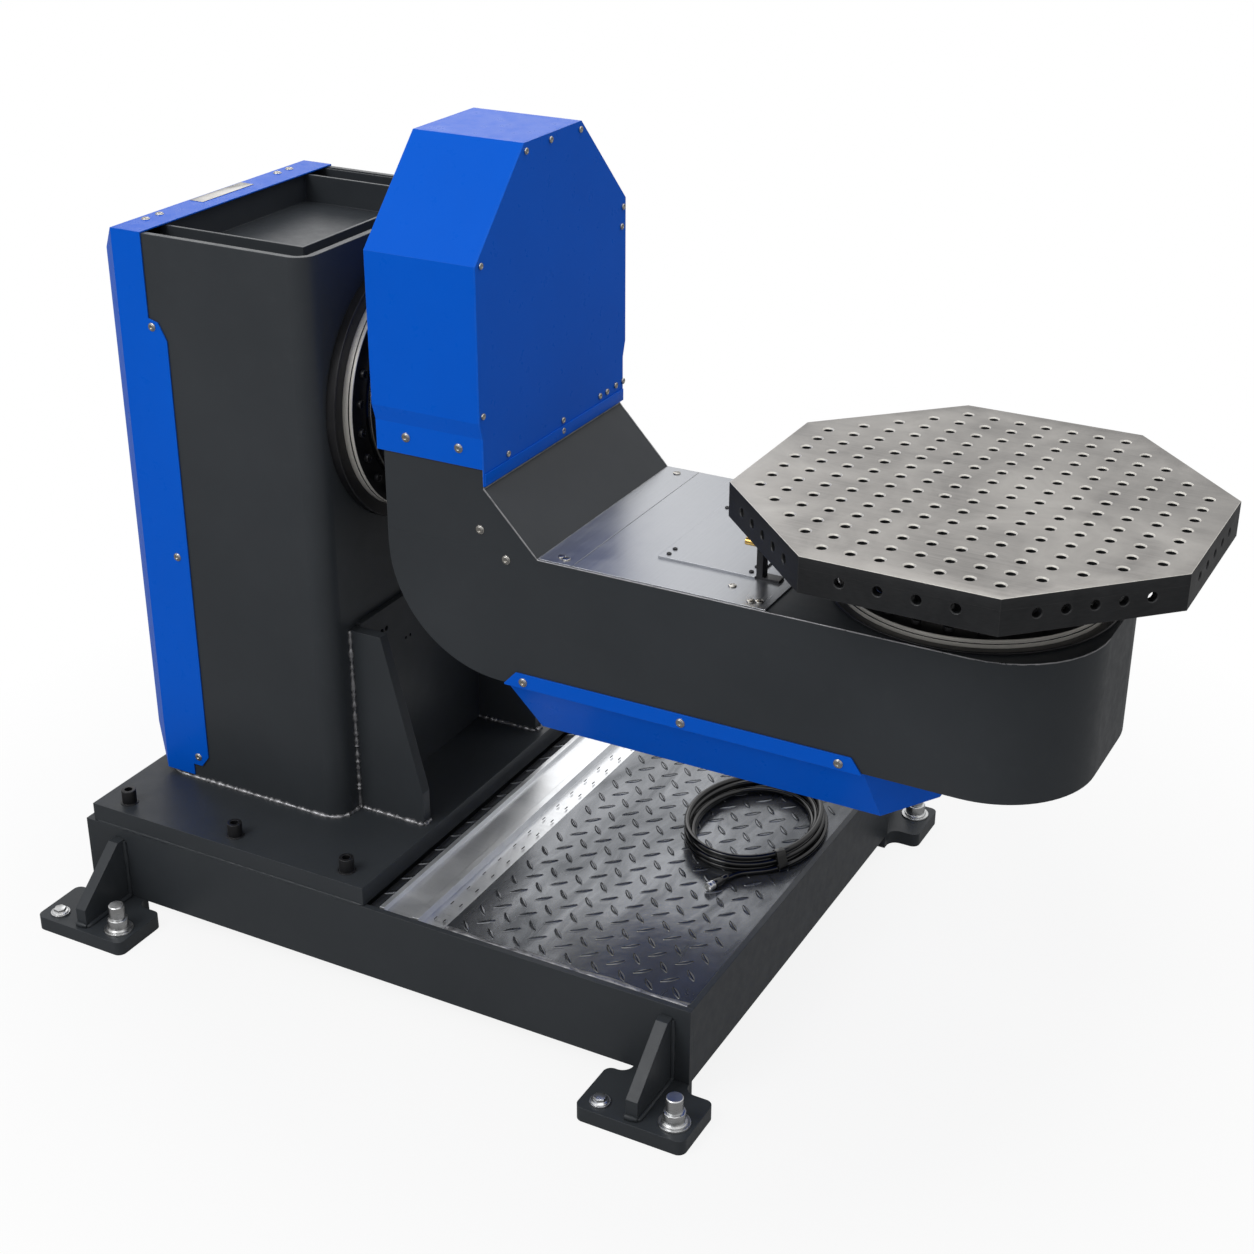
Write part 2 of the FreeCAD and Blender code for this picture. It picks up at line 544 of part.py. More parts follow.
def bearing(prefix, place, bolts):
    """Outer ring, toothed inner ring and pinion of one axis, drawn along +Z from the mounting face."""
    width, radius = size("ring_width"), size("ring_radius")
    outer = Part.makeCylinder(radius, width).cut(Part.makeCylinder(size("race_radius + race_gap"), width))
    groove_depth = size("ring_groove")
    groove = Part.makeCylinder(radius + 1, groove_depth, Vector(0, 0, width * 0.78))
    groove = groove.cut(Part.makeCylinder(radius - groove_depth, groove_depth, Vector(0, 0, width * 0.78)))
    node(feature(f"{prefix}_bearing_outer_ring", outer.cut(groove), place))
    start, depth = size("inner_ring_offset"), size("inner_ring_width")
    blank = Part.makeCylinder(size("race_radius"), depth, Vector(0, 0, start))
    spaces = gear_face(int(size("ring_teeth")), 1.25, 1.0, size("tooth_play"))
    spaces.translate(Vector(0, 0, start))
    node(feature(f"{prefix}_bearing_inner_ring", blank.cut(spaces.extrude(Vector(0, 0, depth))), place))
    pinion_start = start + depth - size("pinion_gap") - size("pinion_width")
    pinion = gear_face(int(size("pinion_teeth")), 1.0, 1.2, -size("tooth_play"))
    centres = size("gear_centres")
    pinion.translate(Vector(centres, 0, pinion_start))
    shaft_low = -size("column_wall + drive_plate_thickness + gearbox_flange_thickness")
    shaft = Part.makeCylinder(size("shaft_radius"), pinion_start - shaft_low, Vector(centres, 0, shaft_low))
    gear = pinion.extrude(Vector(0, 0, size("pinion_width"))).fuse(shaft)
    node(feature(f"{prefix}_pinion", gear, place))
    heads = []
    for i in range(bolts):
        turn = math.radians(360 * (i + 0.5) / bolts)
        spot = Vector(math.cos(turn), math.sin(turn), 0) * size("ring_bolt_circle") + Vector(0, 0, width)
        rim = [Vector(math.cos(k * math.pi / 3), math.sin(k * math.pi / 3), 0) for k in range(7)]
        hexagon_face = Part.Face(Part.makePolygon([spot + way * size("ring_bolt_head") for way in rim]))
        heads.append(hexagon_face.extrude(Vector(0, 0, size("ring_bolt_height"))))
    node(feature(f"{prefix}_ring_bolts", Part.makeCompound(heads), place))


# The tilt bearing stands on the column's face; its pinion sits above the tilt axis.
ABOVE = Rotation(Vector(0, 0, 1), Vector(0, -1, 0), Vector(1, 0, 0), "ZXY")
tilt_place = Placement(Vector(size("column_front"), 0, size("tilt_height")), ABOVE)
node(cut("tilt_flange", cylinder("tilt_flange_disc", "flange_radius", "flange_thickness", "column_front", "0",
                                 "tilt_height", "X"),
         cylinder("tilt_flange_bore", "ring_radius + cover_fit", "flange_thickness", "column_front", "0",
                  "tilt_height", "X")))
bearing("tilt", tilt_place, 24)

# The turntable bearing stands in a seat in the arm's top plate; its pinion lies towards the column.
turntable_place = Placement(Vector(size("axis_x"), 0, size("arm_top - ring_seat")), Rotation(Vector(0, 0, 1), 180))
bearing("turntable", turntable_place, 24)


def drive_unit(prefix, place):
    """Drive plate behind the bearing's seat, with gearbox and servo motor in line behind the pinion."""
    reach = size("gear_centres")
    plate_size = size("drive_plate_thickness")
    flange_top = -size("column_wall") - plate_size
    carrier = Part.makeCylinder(size("race_radius + 12"), plate_size, Vector(0, 0, flange_top))
    carrier = carrier.cut(Part.makeCylinder(size("hub_bore - 12"), plate_size, Vector(-20, 0, flange_top)))
    opening = size("gear_module * (pinion_teeth + 2) / 2 + 2")
    carrier = carrier.cut(Part.makeCylinder(opening, plate_size, Vector(reach, 0, flange_top)))
    node(feature(f"{prefix}_drive_plate", carrier, place))
    flange_low = flange_top - size("gearbox_flange_thickness")
    gearbox_low = flange_low - size("gearbox_length")
    collar = size("shaft_radius") + size("shaft_gap")
    box_shape = Part.makeCylinder(size("gearbox_flange"), size("gearbox_flange_thickness"), Vector(reach, 0, flange_low))
    box_shape = box_shape.fuse(Part.makeCylinder(size("gearbox_radius"), size("gearbox_length"),
                                                 Vector(reach, 0, gearbox_low)))
    box_shape = box_shape.cut(Part.makeCylinder(collar, size("gearbox_flange_thickness"), Vector(reach, 0, flange_low)))
    node(feature(f"{prefix}_gearbox", box_shape, place))
    side, length = size("motor_square"), size("motor_length")
    motor = Part.makeBox(side, side, length, Vector(reach - side / 2, -side / 2, gearbox_low - length))
    motor = motor.makeFillet(side / 8, [e for e in motor.Edges if abs(e.Length - length) < 0.01])
    plug = Part.makeBox(34, 40, 30, Vector(reach - 17, side / 2, gearbox_low - length + 20))
    node(feature(f"{prefix}_motor", motor.fuse(plug), place))


drive_unit("tilt", tilt_place)
drive_unit("turntable", turntable_place)

# Hub between the tilt bearing's inner ring and the arm's back plate.
def hub(label, place, start, end):
    """A spool: flange on the toothed ring, neck, flange on what it carries."""
    flange, big, neck, inner = (size(name) for name in ("hub_flange", "hub_radius", "hub_neck", "hub_bore"))
    profile = [(inner, start), (big, start), (big, start + flange), (neck, start + flange + (big - neck)),
               (neck, end - flange - (big - neck)), (big, end - flange), (big, end), (inner, end)]
    points = [Vector(r, 0, z) for r, z in profile]
    face = Part.Face(Part.makePolygon(points + points[:1]))
    return feature(label, face.revolve(Vector(), Vector(0, 0, 1), 360), place)


ring_end = size("inner_ring_offset + inner_ring_width")
node(hub("tilt_hub", tilt_place, ring_end, size("tilt_gap")))
node(hub("turntable_hub", turntable_place, ring_end, size("ring_seat + arm_drop - table_height")))

# ---------------------------------------------------------------- arm
def arm_block(label, inset):
    """L-shaped block of the arm, smaller by inset on every side."""
    made = body(label)
    back, low, nose = f"arm_back + {inset}", f"arm_low + {inset}", f"axis_x + arm_nose - {inset}"
    neck, top = f"arm_neck_front - {inset}", f"arm_top - {inset}"
    head = f"tilt_height + arm_neck_rise - {inset}"
    outline = [(back, low), (nose, low), (nose, top), (f"slope_foot - {inset} / 2", top),
               (neck, f"slope_top - {inset} / 2"), (neck, head), (back, head)]
    pad(made, polygon(sketch(made, "XZ"), outline), f"arm_width - 2 * {inset}", middle=True)
    round_edges(made, f"arm_heel_radius - {inset}", (back, "0", low))
    half = f"arm_width / 2 - {inset}"
    round_edges(made, f"arm_nose_radius - {inset}", (nose, half, None), (nose, f"-({half})", None))
    return made


arm_tools = [
    arm_block("arm_hollow", "arm_wall"),
    box("arm_top_opening", "slope_foot + top_opening_margin", "axis_x - front_top_plate_end - 20",
        "top_opening_margin - arm_width / 2", "arm_width / 2 - top_opening_margin", "arm_top - 40", "arm_top + 1"),
    box("arm_bottom_opening", "axis_x - bottom_opening_start", "axis_x - bottom_opening_end",
        "-bottom_opening_width / 2", "bottom_opening_width / 2", "arm_low - 1", "arm_low + 40"),
    cylinder("arm_turntable_seat", "ring_radius + cover_fit", "ring_seat + 1", "axis_x", "0", "arm_top - ring_seat"),
    cylinder("arm_back_bore", "hub_bore", "arm_wall + 2", "arm_back - 1", "0", "tilt_height", "X"),
]
arm_seat = cylinder("arm_seat_block", "flange_radius - 4", "ring_seat + 12", "axis_x", "0", "arm_top - ring_seat - 12")
arm_body = cut("arm_body", arm_block("arm_outer", "0"), *arm_tools)
seat_ring = cut("arm_seat_ring", arm_seat,
                cylinder("arm_seat_hole", "race_radius - 22", "ring_seat + 12", "axis_x", "0", "arm_top - ring_seat - 12"),
                cylinder("arm_seat_pocket", "ring_radius + cover_fit", "ring_seat", "axis_x", "0", "arm_top - ring_seat"))
nose_limit = arm_block("arm_nose_limit", "arm_wall / 4")
arm_whole = fuse("arm_whole", arm_body, common("arm_ring", seat_ring, nose_limit))
# Neck and beam are two welded boxes that meet in the plane of the beam's top.
ARM_SPAN = ["arm_back - 1", "axis_x + arm_nose + 1", "-arm_width", "arm_width"]
node(group("arm_shell", [
    common("arm_neck", arm_whole, box("neck_space", *ARM_SPAN, "arm_top", "tilt_height + arm_neck_rise + 1")),
    common("arm_beam", arm_whole, box("beam_space", *ARM_SPAN, "arm_low - 1", "arm_top"))]))

node(cut("turntable_flange", cylinder("turntable_flange_disc", "arm_width / 2 - 3", "top_flange_thickness", "axis_x",
                                      "0", "arm_top"),
         cylinder("turntable_flange_bore", "ring_radius + cover_fit", "top_flange_thickness", "axis_x", "0", "arm_top")))

# Sheet plates on the arm's top, a raised access plate, and the earth post beside the turntable.
SKIN = "top_plate_thickness"
PLATE_W = "arm_width / 2 - 3"
node(box("arm_rear_top_plate", "slope_foot + 2", "slope_foot + rear_top_plate_length", f"-({PLATE_W})", PLATE_W,
         "arm_top", f"arm_top + {SKIN}"))
front_top = box("front_top_sheet", "slope_foot + rear_top_plate_length + 1", "axis_x - front_top_plate_end",
                f"-({PLATE_W})", PLATE_W, "arm_top", f"arm_top + {SKIN}")
node(cut("arm_front_top_plate", front_top,
         box("front_top_window", "axis_x - access_start + 15", "axis_x - access_start + access_length - 15",
             "15 - access_width / 2", "access_width / 2 - 15", "arm_top - 1", "arm_top + 5")))
access = box("access_sheet", "axis_x - access_start", "axis_x - access_start + access_length", "-access_width / 2",
             "access_width / 2", f"arm_top + {SKIN}", f"arm_top + 2 * {SKIN} + 1")
node(access)
access.Label = "arm_access_plate"

post = body("earth_post")
px, py, pz = "axis_x - post_distance", "-post_offset", f"arm_top + {SKIN}"
foot_profile = [(px, pz), (f"{px} + post_foot", pz), (f"{px} + post_foot", f"{pz} + 5"), (f"{px} + post_width", f"{pz} + 5"),
                (f"{px} + post_width", f"{pz} + post_height"), (px, f"{pz} + post_height")]
pad(post, polygon(sketch(post, "XZ", "post_offset - 11"), foot_profile), "22")
node(post)
node(cylinder("brass_terminal", "brass_radius", "brass_length", f"{px} - brass_length", py,
              f"{pz} + post_height - 14", "X"))

# ---------------------------------------------------------------- head cover and counterweight
def head_outline(inset):
    """Half widths and heights of the head cover above the tilt axis, drawn as a closed outline."""
    right = [(f"head_band_width / 2 - {inset}", "-head_band_low"), (f"head_band_width / 2 - {inset}", "head_band_high"),
             (f"head_width / 2 - {inset}", "head_step"), (f"head_width / 2 - {inset}", f"head_shoulder - {inset} / 2"),
             (f"head_top_width / 2 - {inset} / 2", f"head_top - {inset}")]
    left = [(f"-({y})", z) for y, z in reversed(right)]
    return [(y, f"tilt_height + {z}") for y, z in right + left]


head = body("head_cover")
pad(head, polygon(sketch(head, "YZ", "head_back"), head_outline("0")), "head_length - panel_sheet")
hollow_outline = head_outline("head_sheet")
hollow_outline[0] = (hollow_outline[0][0], "tilt_height - head_band_low - 1")
hollow_outline[-1] = (hollow_outline[-1][0], "tilt_height - head_band_low - 1")
pocket(head, polygon(sketch(head, "YZ", "head_back + head_sheet"), hollow_outline), "head_length", back=True)
notch = polygon(sketch(head, "YZ", "head_back + head_sheet"),
                [("-hub_radius - 8", "tilt_height - head_band_low - 1"), ("hub_radius + 8", "tilt_height - head_band_low - 1"),
                 ("hub_radius + 8", "tilt_height + hub_radius / 2"), ("hub_radius / 2 + 8", "tilt_height + hub_radius + 8"),
                 ("-hub_radius / 2 - 8", "tilt_height + hub_radius + 8"), ("-hub_radius - 8", "tilt_height + hub_radius / 2")])
pocket(head, notch, "head_sheet")
node(head)

panel_outline = head_outline("0")
panel_outline[0] = (panel_outline[0][0], "tilt_height - panel_low")
panel_outline[-1] = (panel_outline[-1][0], "tilt_height - panel_low")
node(plate("head_face_panel", "YZ", panel_outline, "head_front - panel_sheet", "panel_sheet"))
weight_low = "tilt_height + arm_neck_rise"
node(box("counterweight", "arm_back + 10", "arm_back + 10 + counterweight_length", "-counterweight_width / 2",
         "counterweight_width / 2", weight_low, f"{weight_low} + counterweight_height"))

# ---------------------------------------------------------------- bottom cover of the arm
def hull_section(label, z, places):
    made = doc.addObject("Sketcher::SketchObject", label)
    drive(made, Placement__Base__z=z)
    polygon(made, places)
    return made


def tray_loft(label, inset, top, bottom):
    """Tapered hull between a six-cornered rim under the arm and a smaller floor."""
    def ring(start, side_end, end, width, end_width):
        right = [(f"axis_x - {start} + {inset}", f"-({width}) / 2 + {inset}"),
                 (f"axis_x - ({side_end})", f"-({width}) / 2 + {inset}"),
                 (f"axis_x - ({end}) - {inset}", f"-({end_width}) / 2 + {inset}")]
        return right + [(x, f"-({y})") for x, y in reversed(right)]
    rim = hull_section(label + "_rim", top, ring("tray_start", "tray_side_end", "tray_end", "arm_width - 10", "tray_end_width"))
    floor = hull_section(label + "_floor", bottom, ring("tray_low_start", "tray_low_end + tray_low_end_inset",
                                                        "tray_low_end", "tray_low_width", "tray_low_end_width"))
    made = doc.addObject("Part::Loft", label)
    made.Sections = [rim, floor]
    made.Solid = True
    made.Ruled = True
    return made


tray_outer = tray_loft("tray_outer", "0", "arm_low", "tray_bottom")
tray_inner = tray_loft("tray_inner", "tray_sheet", "arm_low", "tray_bottom + tray_sheet")
tray_flanges = []
for i, side in enumerate((-1, 1)):
    flange = body(f"tray_flange_{i}")
    profile = [("axis_x - tray_flange_start", "arm_low + tray_flange_height"),
               ("axis_x - tray_flange_end", "arm_low + tray_flange_height"), ("axis_x - tray_side_end", "arm_low"),
               ("axis_x - tray_side_end", "arm_low - tray_sheet"), ("axis_x - tray_start", "arm_low - tray_sheet"),
               ("axis_x - tray_start", "arm_low")]
    offset = "arm_width / 2 + cover_fit" if side < 0 else "-(arm_width / 2 + cover_fit + tray_sheet)"
    pad(flange, polygon(sketch(flange, "XZ", offset), profile), "tray_sheet")
    tray_flanges.append(flange)
    lip0, lip1 = ("-(arm_width / 2 + cover_fit + 1)", "-(arm_width / 2 - 8)") if side < 0 else \
        ("arm_width / 2 - 8", "arm_width / 2 + cover_fit + 1")
    tray_flanges.append(box(f"tray_lip_{i}", "axis_x - tray_start", "axis_x - tray_side_end", lip0, lip1,
                            "arm_low - tray_sheet", "arm_low"))
node(fuse("arm_bottom_cover", cut("tray_shell", tray_outer, tray_inner), *tray_flanges))

# ---------------------------------------------------------------- turntable
def octagon(half, corner):
    """Square with cut corners, centred on the turntable axis."""
    near = half - corner
    points = [(half, -near), (half, near), (near, half), (-near, half), (-half, near), (-half, -near), (-near, -half),
              (near, -half)]
    ring = [Vector(x, y, 0) for x, y in points]
    return Part.Face(Part.makePolygon(ring + ring[:1]))


def drilled(x, y, direction, depth, start, round_hole):
    """One grid hole: bored round where tooling locates, eight-sided elsewhere to keep the grid light."""
    base = Vector(x, y, 0) + start
    if round_hole:
        return Part.makeCylinder(size("hole_radius"), depth, base, direction)
    side_way = direction.cross(Vector(0, 0, 1)) if abs(direction.z) < 0.5 else Vector(1, 0, 0)
    up_way = direction.cross(side_way)
    radius = size("hole_radius")
    points = [base + side_way * radius * math.cos(a) + up_way * radius * math.sin(a)
              for a in (math.pi * (k + 0.5) / 4 for k in range(9))]
    return Part.Face(Part.makePolygon(points)).extrude(direction * depth)


half, corner, high = size("table_flats / 2"), size("table_corner"), size("table_height")
thick, rim, pitch = size("table_top"), size("table_rim"), size("hole_pitch")
block = octagon(half, corner).extrude(Vector(0, 0, high))
inner_corner = corner - rim * (2 - math.sqrt(2))
under = octagon(half - rim, inner_corner).extrude(Vector(0, 0, high - thick))
under = under.cut(Part.makeCylinder(size("table_boss"), high - thick))
for turn in range(4):
    rib = Part.makeBox(half * 2, rim, high - thick, Vector(-half, -rim / 2, 0))
    rib.rotate(Vector(), Vector(0, 0, 1), 45 * turn)
    under = under.cut(rib)
table = block.cut(under)
count, steps, located = int(size("grid_half_count")), int(size("grid_corner_step")), int(size("locating_index"))
holes = []
for i in range(-count, count + 1):
    for j in range(-count, count + 1):
        if abs(i) + abs(j) <= steps:
            is_round = abs(i) == located and abs(j) == located
            holes.append(drilled(i * pitch, j * pitch, Vector(0, 0, 1), thick, Vector(0, 0, high - thick), is_round))
drop = high - size("side_hole_drop")
for turn in range(8):
    way = Vector(math.cos(turn * math.pi / 4), math.sin(turn * math.pi / 4), 0)
    along = Vector(-way.y, way.x, 0)
    distance = half if turn % 2 == 0 else (2 * half - corner) / math.sqrt(2)
    spread = [-1.5, -0.5, 0.5, 1.5] if turn in (2, 6) else [-2, -1, 0, 1, 2]
    gap = size("side_hole_pitch") if turn in (2, 6) else pitch
    for k in spread:
        spot = way * (distance - rim) + along * (k * gap) + Vector(0, 0, drop)
        holes.append(drilled(0, 0, way, rim, spot, False))
table = table.cut(Part.makeCompound(holes))
node(feature("turntable", table, Placement(Vector(size("axis_x"), 0, size("table_low")), Rotation())))

# ---------------------------------------------------------------- cable on the deck
# Elbow gland in the deck, a lead to a tied coil, and a tail that ends in a plug.
COIL = Vector(size("axis_x - 465.5"), size("base_width / 2 - coil_inset"), size("deck_top"))


def tube_along(points, radius):
    """Round tube along straight runs joined by tangent arcs, each 0.45 of its shorter run long."""
    edges, radii = [], []
    start = points[0]
    for before, here, after in zip(points, points[1:], points[2:]):
        first, second = (before - here).normalize(), (after - here).normalize()
        turn = math.pi - first.getAngle(second)
        back = 0.45 * min((before - here).Length, (after - here).Length)
        radii.append(back / math.tan(turn / 2))
        arc_start, arc_end = here + first * back, here + second * back
        bisector = (first + second).normalize()
        centre = here + bisector * math.hypot(back, radii[-1])
        middle = centre - bisector * radii[-1]
        edges.append(Part.LineSegment(start, arc_start).toShape())
        edges.append(Part.Arc(arc_start, middle, arc_end).toShape())
        start = arc_end
    edges.append(Part.LineSegment(start, points[-1]).toShape())
    wire = Part.Wire(edges)
    heading = (points[1] - points[0]).normalize()
    ring = Part.Wire(Part.makeCircle(radius, points[0], heading))
    shape = wire.makePipeShell([ring], True, False)
    wanted = math.pi * radius ** 2 * wire.Length
    print(f"cable run {wire.Length:.0f} mm, radii {[round(r) for r in radii]}, volume {shape.Volume / wanted:.3f}")
    return shape


cable, deck = size("cable_radius"), size("deck_top")
coil_r, coil_w, coil_h = size("coil_radius"), size("coil_width"), size("coil_height")
section = [Vector(coil_r - coil_w / 2 + 8, 0, 0.2), Vector(coil_r + coil_w / 2 - 10, 0, 0.2),
           Vector(coil_r + coil_w / 2, 0, 14), Vector(coil_r + coil_w / 2 - 6, 0, coil_h - 12),
           Vector(coil_r + 4, 0, coil_h), Vector(coil_r - coil_w / 2, 0, coil_h - 14)]
half_run = Vector(0, size("coil_straight") / 2, 0)
coil_face = Part.Face(Part.makePolygon(section + section[:1]))
far_turn = coil_face.revolve(Vector(), Vector(0, 0, 1), 180).translated(half_run)
right_run = coil_face.extrude(half_run * 2).translated(half_run * -1)
coil = far_turn.multiFuse([far_turn.mirror(Vector(), Vector(0, 1, 0)), right_run,
                           right_run.mirror(Vector(), Vector(1, 0, 0))]).removeSplitter()
node(feature("cable_coil", coil, Placement(COIL, Rotation())))

gland_spot = Vector(COIL.x - 150, COIL.y + 297, deck)
stub = Part.makeCylinder(size("gland_radius"), size("gland_height + gland_radius"), gland_spot)
nose_z = size("gland_height")
nose = Part.makeCylinder(size("gland_radius - 2"), 30, gland_spot + Vector(0, 0, nose_z), Vector(0, -1, 0))
node(feature("cable_gland", stub.fuse(nose)))
lead_start = gland_spot + Vector(0, -30, nose_z)
lead = [lead_start, lead_start + Vector(0, -42, 0), lead_start + Vector(24, -80, 4),
        lead_start + Vector(66.5, -102, 8), lead_start + Vector(114.5, -104, 10),
        lead_start + Vector(153.5, -102, 11)]
node(feature("cable_lead", tube_along(lead, cable)))
tail_start = COIL + Vector(80, -131, cable + 4)
tail = [tail_start, tail_start + Vector(-34, -26, -1), tail_start + Vector(-48, -70, -3)]
node(feature("cable_tail", tube_along(tail, cable)))
heading = (tail[-1] - tail[-2]).normalize()
plug = Part.makeCylinder(size("plug_radius"), size("plug_length"), Vector(), Vector(1, 0, 0))
plug_turn = Rotation(Vector(1, 0, 0), Vector(heading.x, heading.y, 0))
node(feature("cable_plug", plug, Placement(tail[-1] + Vector(0, 0, 3.2), plug_turn)))

# ---------------------------------------------------------------- check and export
doc.recompute()
for item in doc.Objects:
    if set(item.State) & {"Invalid", "Error"}:
        raise RuntimeError(f"{item.Label} did not recompute: {item.State}")
os.makedirs("parts", exist_ok=True)
for piece in NODES:
    shape = piece.Shape
    if shape.isNull() or not shape.isValid() or shape.Volume < 1:
        raise RuntimeError(f"{piece.Label} has no valid shape")
    shape.exportStep(f"parts/{piece.Label}.step")
    print(f"{piece.Label}: {len(shape.Solids)} solids, {shape.Volume / 1000:.0f} cm3")
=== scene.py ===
import json
import math
import random

import bmesh
import bpy
from mathutils import Matrix, Vector


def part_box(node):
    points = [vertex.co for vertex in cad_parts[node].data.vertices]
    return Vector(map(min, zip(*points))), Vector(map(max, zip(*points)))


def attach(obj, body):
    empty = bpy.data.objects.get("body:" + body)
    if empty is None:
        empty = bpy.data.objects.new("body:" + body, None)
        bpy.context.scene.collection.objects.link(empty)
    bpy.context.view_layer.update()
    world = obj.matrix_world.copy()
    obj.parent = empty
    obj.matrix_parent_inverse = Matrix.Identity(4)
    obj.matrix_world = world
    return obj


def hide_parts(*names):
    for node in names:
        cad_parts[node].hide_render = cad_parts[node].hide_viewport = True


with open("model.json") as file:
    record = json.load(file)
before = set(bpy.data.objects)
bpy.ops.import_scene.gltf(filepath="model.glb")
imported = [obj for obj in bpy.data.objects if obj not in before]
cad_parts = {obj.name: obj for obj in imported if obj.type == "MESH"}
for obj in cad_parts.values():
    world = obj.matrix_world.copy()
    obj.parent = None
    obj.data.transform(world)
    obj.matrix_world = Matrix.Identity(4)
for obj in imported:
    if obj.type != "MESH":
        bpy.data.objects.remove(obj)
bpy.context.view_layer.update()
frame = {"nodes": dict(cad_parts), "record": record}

# Welding positioner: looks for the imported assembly, in metres, X from the column to the turntable, Z up.
nodes = frame["nodes"]
random.seed(7)
print("frame loaded:", len(nodes), "nodes")


# ---- small helpers for shader nodes
def addNode(tree, kind, **values):
    node = tree.nodes.new(kind)
    for name, value in values.items():
        setattr(node, name, value)
    return node


def newMaterial(name, slotName, color, roughness, metallic=0.0):
    material = bpy.data.materials.new(name)
    material.use_nodes = True
    material["slotName"] = slotName
    tree = material.node_tree
    shader = tree.nodes["Principled BSDF"]
    shader.inputs["Base Color"].default_value = (*color, 1)
    shader.inputs["Roughness"].default_value = roughness
    shader.inputs["Metallic"].default_value = metallic
    return material, tree, shader


def objectCoordinates(tree, scale=(1, 1, 1)):
    source = addNode(tree, "ShaderNodeTexCoord")
    mapping = addNode(tree, "ShaderNodeMapping")
    mapping.inputs["Scale"].default_value = scale
    tree.links.new(source.outputs["Object"], mapping.inputs["Vector"])
    return mapping.outputs["Vector"]


def noiseField(tree, vector, scale, detail=3.0, rough=0.5, warp=0.0):
    node = addNode(tree, "ShaderNodeTexNoise")
    node.inputs["Scale"].default_value = scale
    node.inputs["Detail"].default_value = detail
    node.inputs["Roughness"].default_value = rough
    node.inputs["Distortion"].default_value = warp
    tree.links.new(vector, node.inputs["Vector"])
    return node.outputs["Fac"]


def remap(tree, value, low, high, outLow, outHigh):
    node = addNode(tree, "ShaderNodeMapRange", clamp=True)
    tree.links.new(value, node.inputs["Value"])
    for name, number in (("From Min", low), ("From Max", high), ("To Min", outLow), ("To Max", outHigh)):
        node.inputs[name].default_value = number
    return node.outputs["Result"]


def combine(tree, operation, first, second):
    node = addNode(tree, "ShaderNodeMath", operation=operation)
    for socket, value in zip(node.inputs, (first, second)):
        if isinstance(value, (int, float)):
            socket.default_value = value
        else:
            tree.links.new(value, socket)
    return node.outputs["Value"]


def mixColors(tree, factor, first, second):
    node = addNode(tree, "ShaderNodeMix", data_type="RGBA")
    tree.links.new(factor, node.inputs["Factor"])
    for name, value in (("A", first), ("B", second)):
        socket = [s for s in node.inputs if s.name == name and s.type == "RGBA"][0]
        if isinstance(value, tuple):
            socket.default_value = (*value, 1)
        else:
            tree.links.new(value, socket)
    return [s for s in node.outputs if s.type == "RGBA"][0]


def bumpNormal(tree, height, strength, distance, normal=None):
    node = addNode(tree, "ShaderNodeBump")
    node.inputs["Strength"].default_value = strength
    node.inputs["Distance"].default_value = distance
    tree.links.new(height, node.inputs["Height"])
    if normal is not None:
        tree.links.new(normal, node.inputs["Normal"])
    return node.outputs["Normal"]


def softEdges(tree, radius):
    # a small rounding of every sharp edge, and a mask that is 1 on it
    bevel = addNode(tree, "ShaderNodeBevel", samples=6)
    bevel.inputs["Radius"].default_value = radius
    flat = addNode(tree, "ShaderNodeNewGeometry")
    product = addNode(tree, "ShaderNodeVectorMath", operation="DOT_PRODUCT")
    tree.links.new(bevel.outputs["Normal"], product.inputs[0])
    tree.links.new(flat.outputs["Normal"], product.inputs[1])
    return bevel.outputs["Normal"], remap(tree, product.outputs["Value"], 0.995, 0.86, 0.0, 1.0)


def paintMaterial(name, slotName, look):
    # sprayed paint: slow tone drift, orange peel, settled dust, rubbed edges
    material, tree, shader = newMaterial(name, slotName, look["color"], look["roughness"],
                                         look.get("metallic", 0.0))
    place = objectCoordinates(tree)
    drift = noiseField(tree, place, 2.6, 4, 0.55)
    grain = noiseField(tree, place, look.get("grainScale", 900), 2, 0.5)
    dust = noiseField(tree, place, 34, 6, 0.68)
    tone = mixColors(tree, remap(tree, drift, 0.3, 0.7, 0, 1), look["color"], look["second"])
    tone = mixColors(tree, remap(tree, dust, 0.58, 0.86, 0, look.get("dust", 0.25)), tone, look["dustColor"])
    edgeNormal, edge = softEdges(tree, look.get("edgeRadius", 0.0022))
    rubbed = combine(tree, "MULTIPLY", edge, remap(tree, dust, 0.35, 0.72, 0.1, look.get("wear", 0.55)))
    tone = mixColors(tree, rubbed, tone, look["edgeColor"])
    tree.links.new(tone, shader.inputs["Base Color"])
    roughness = remap(tree, dust, 0.3, 0.8, look["roughness"] - 0.05, look["roughness"] + 0.12)
    tree.links.new(roughness, shader.inputs["Roughness"])
    tree.links.new(bumpNormal(tree, grain, look.get("peel", 0.12), 0.0004, edgeNormal),
                   shader.inputs["Normal"])
    shader.inputs["Coat Weight"].default_value = look.get("coat", 0.0)
    shader.inputs["Specular IOR Level"].default_value = look.get("specular", 0.5)
    shader.inputs["IOR"].default_value = look.get("bend", 1.45)
    shader.inputs["Coat Roughness"].default_value = look.get("coatRoughness", 0.1)
    return material


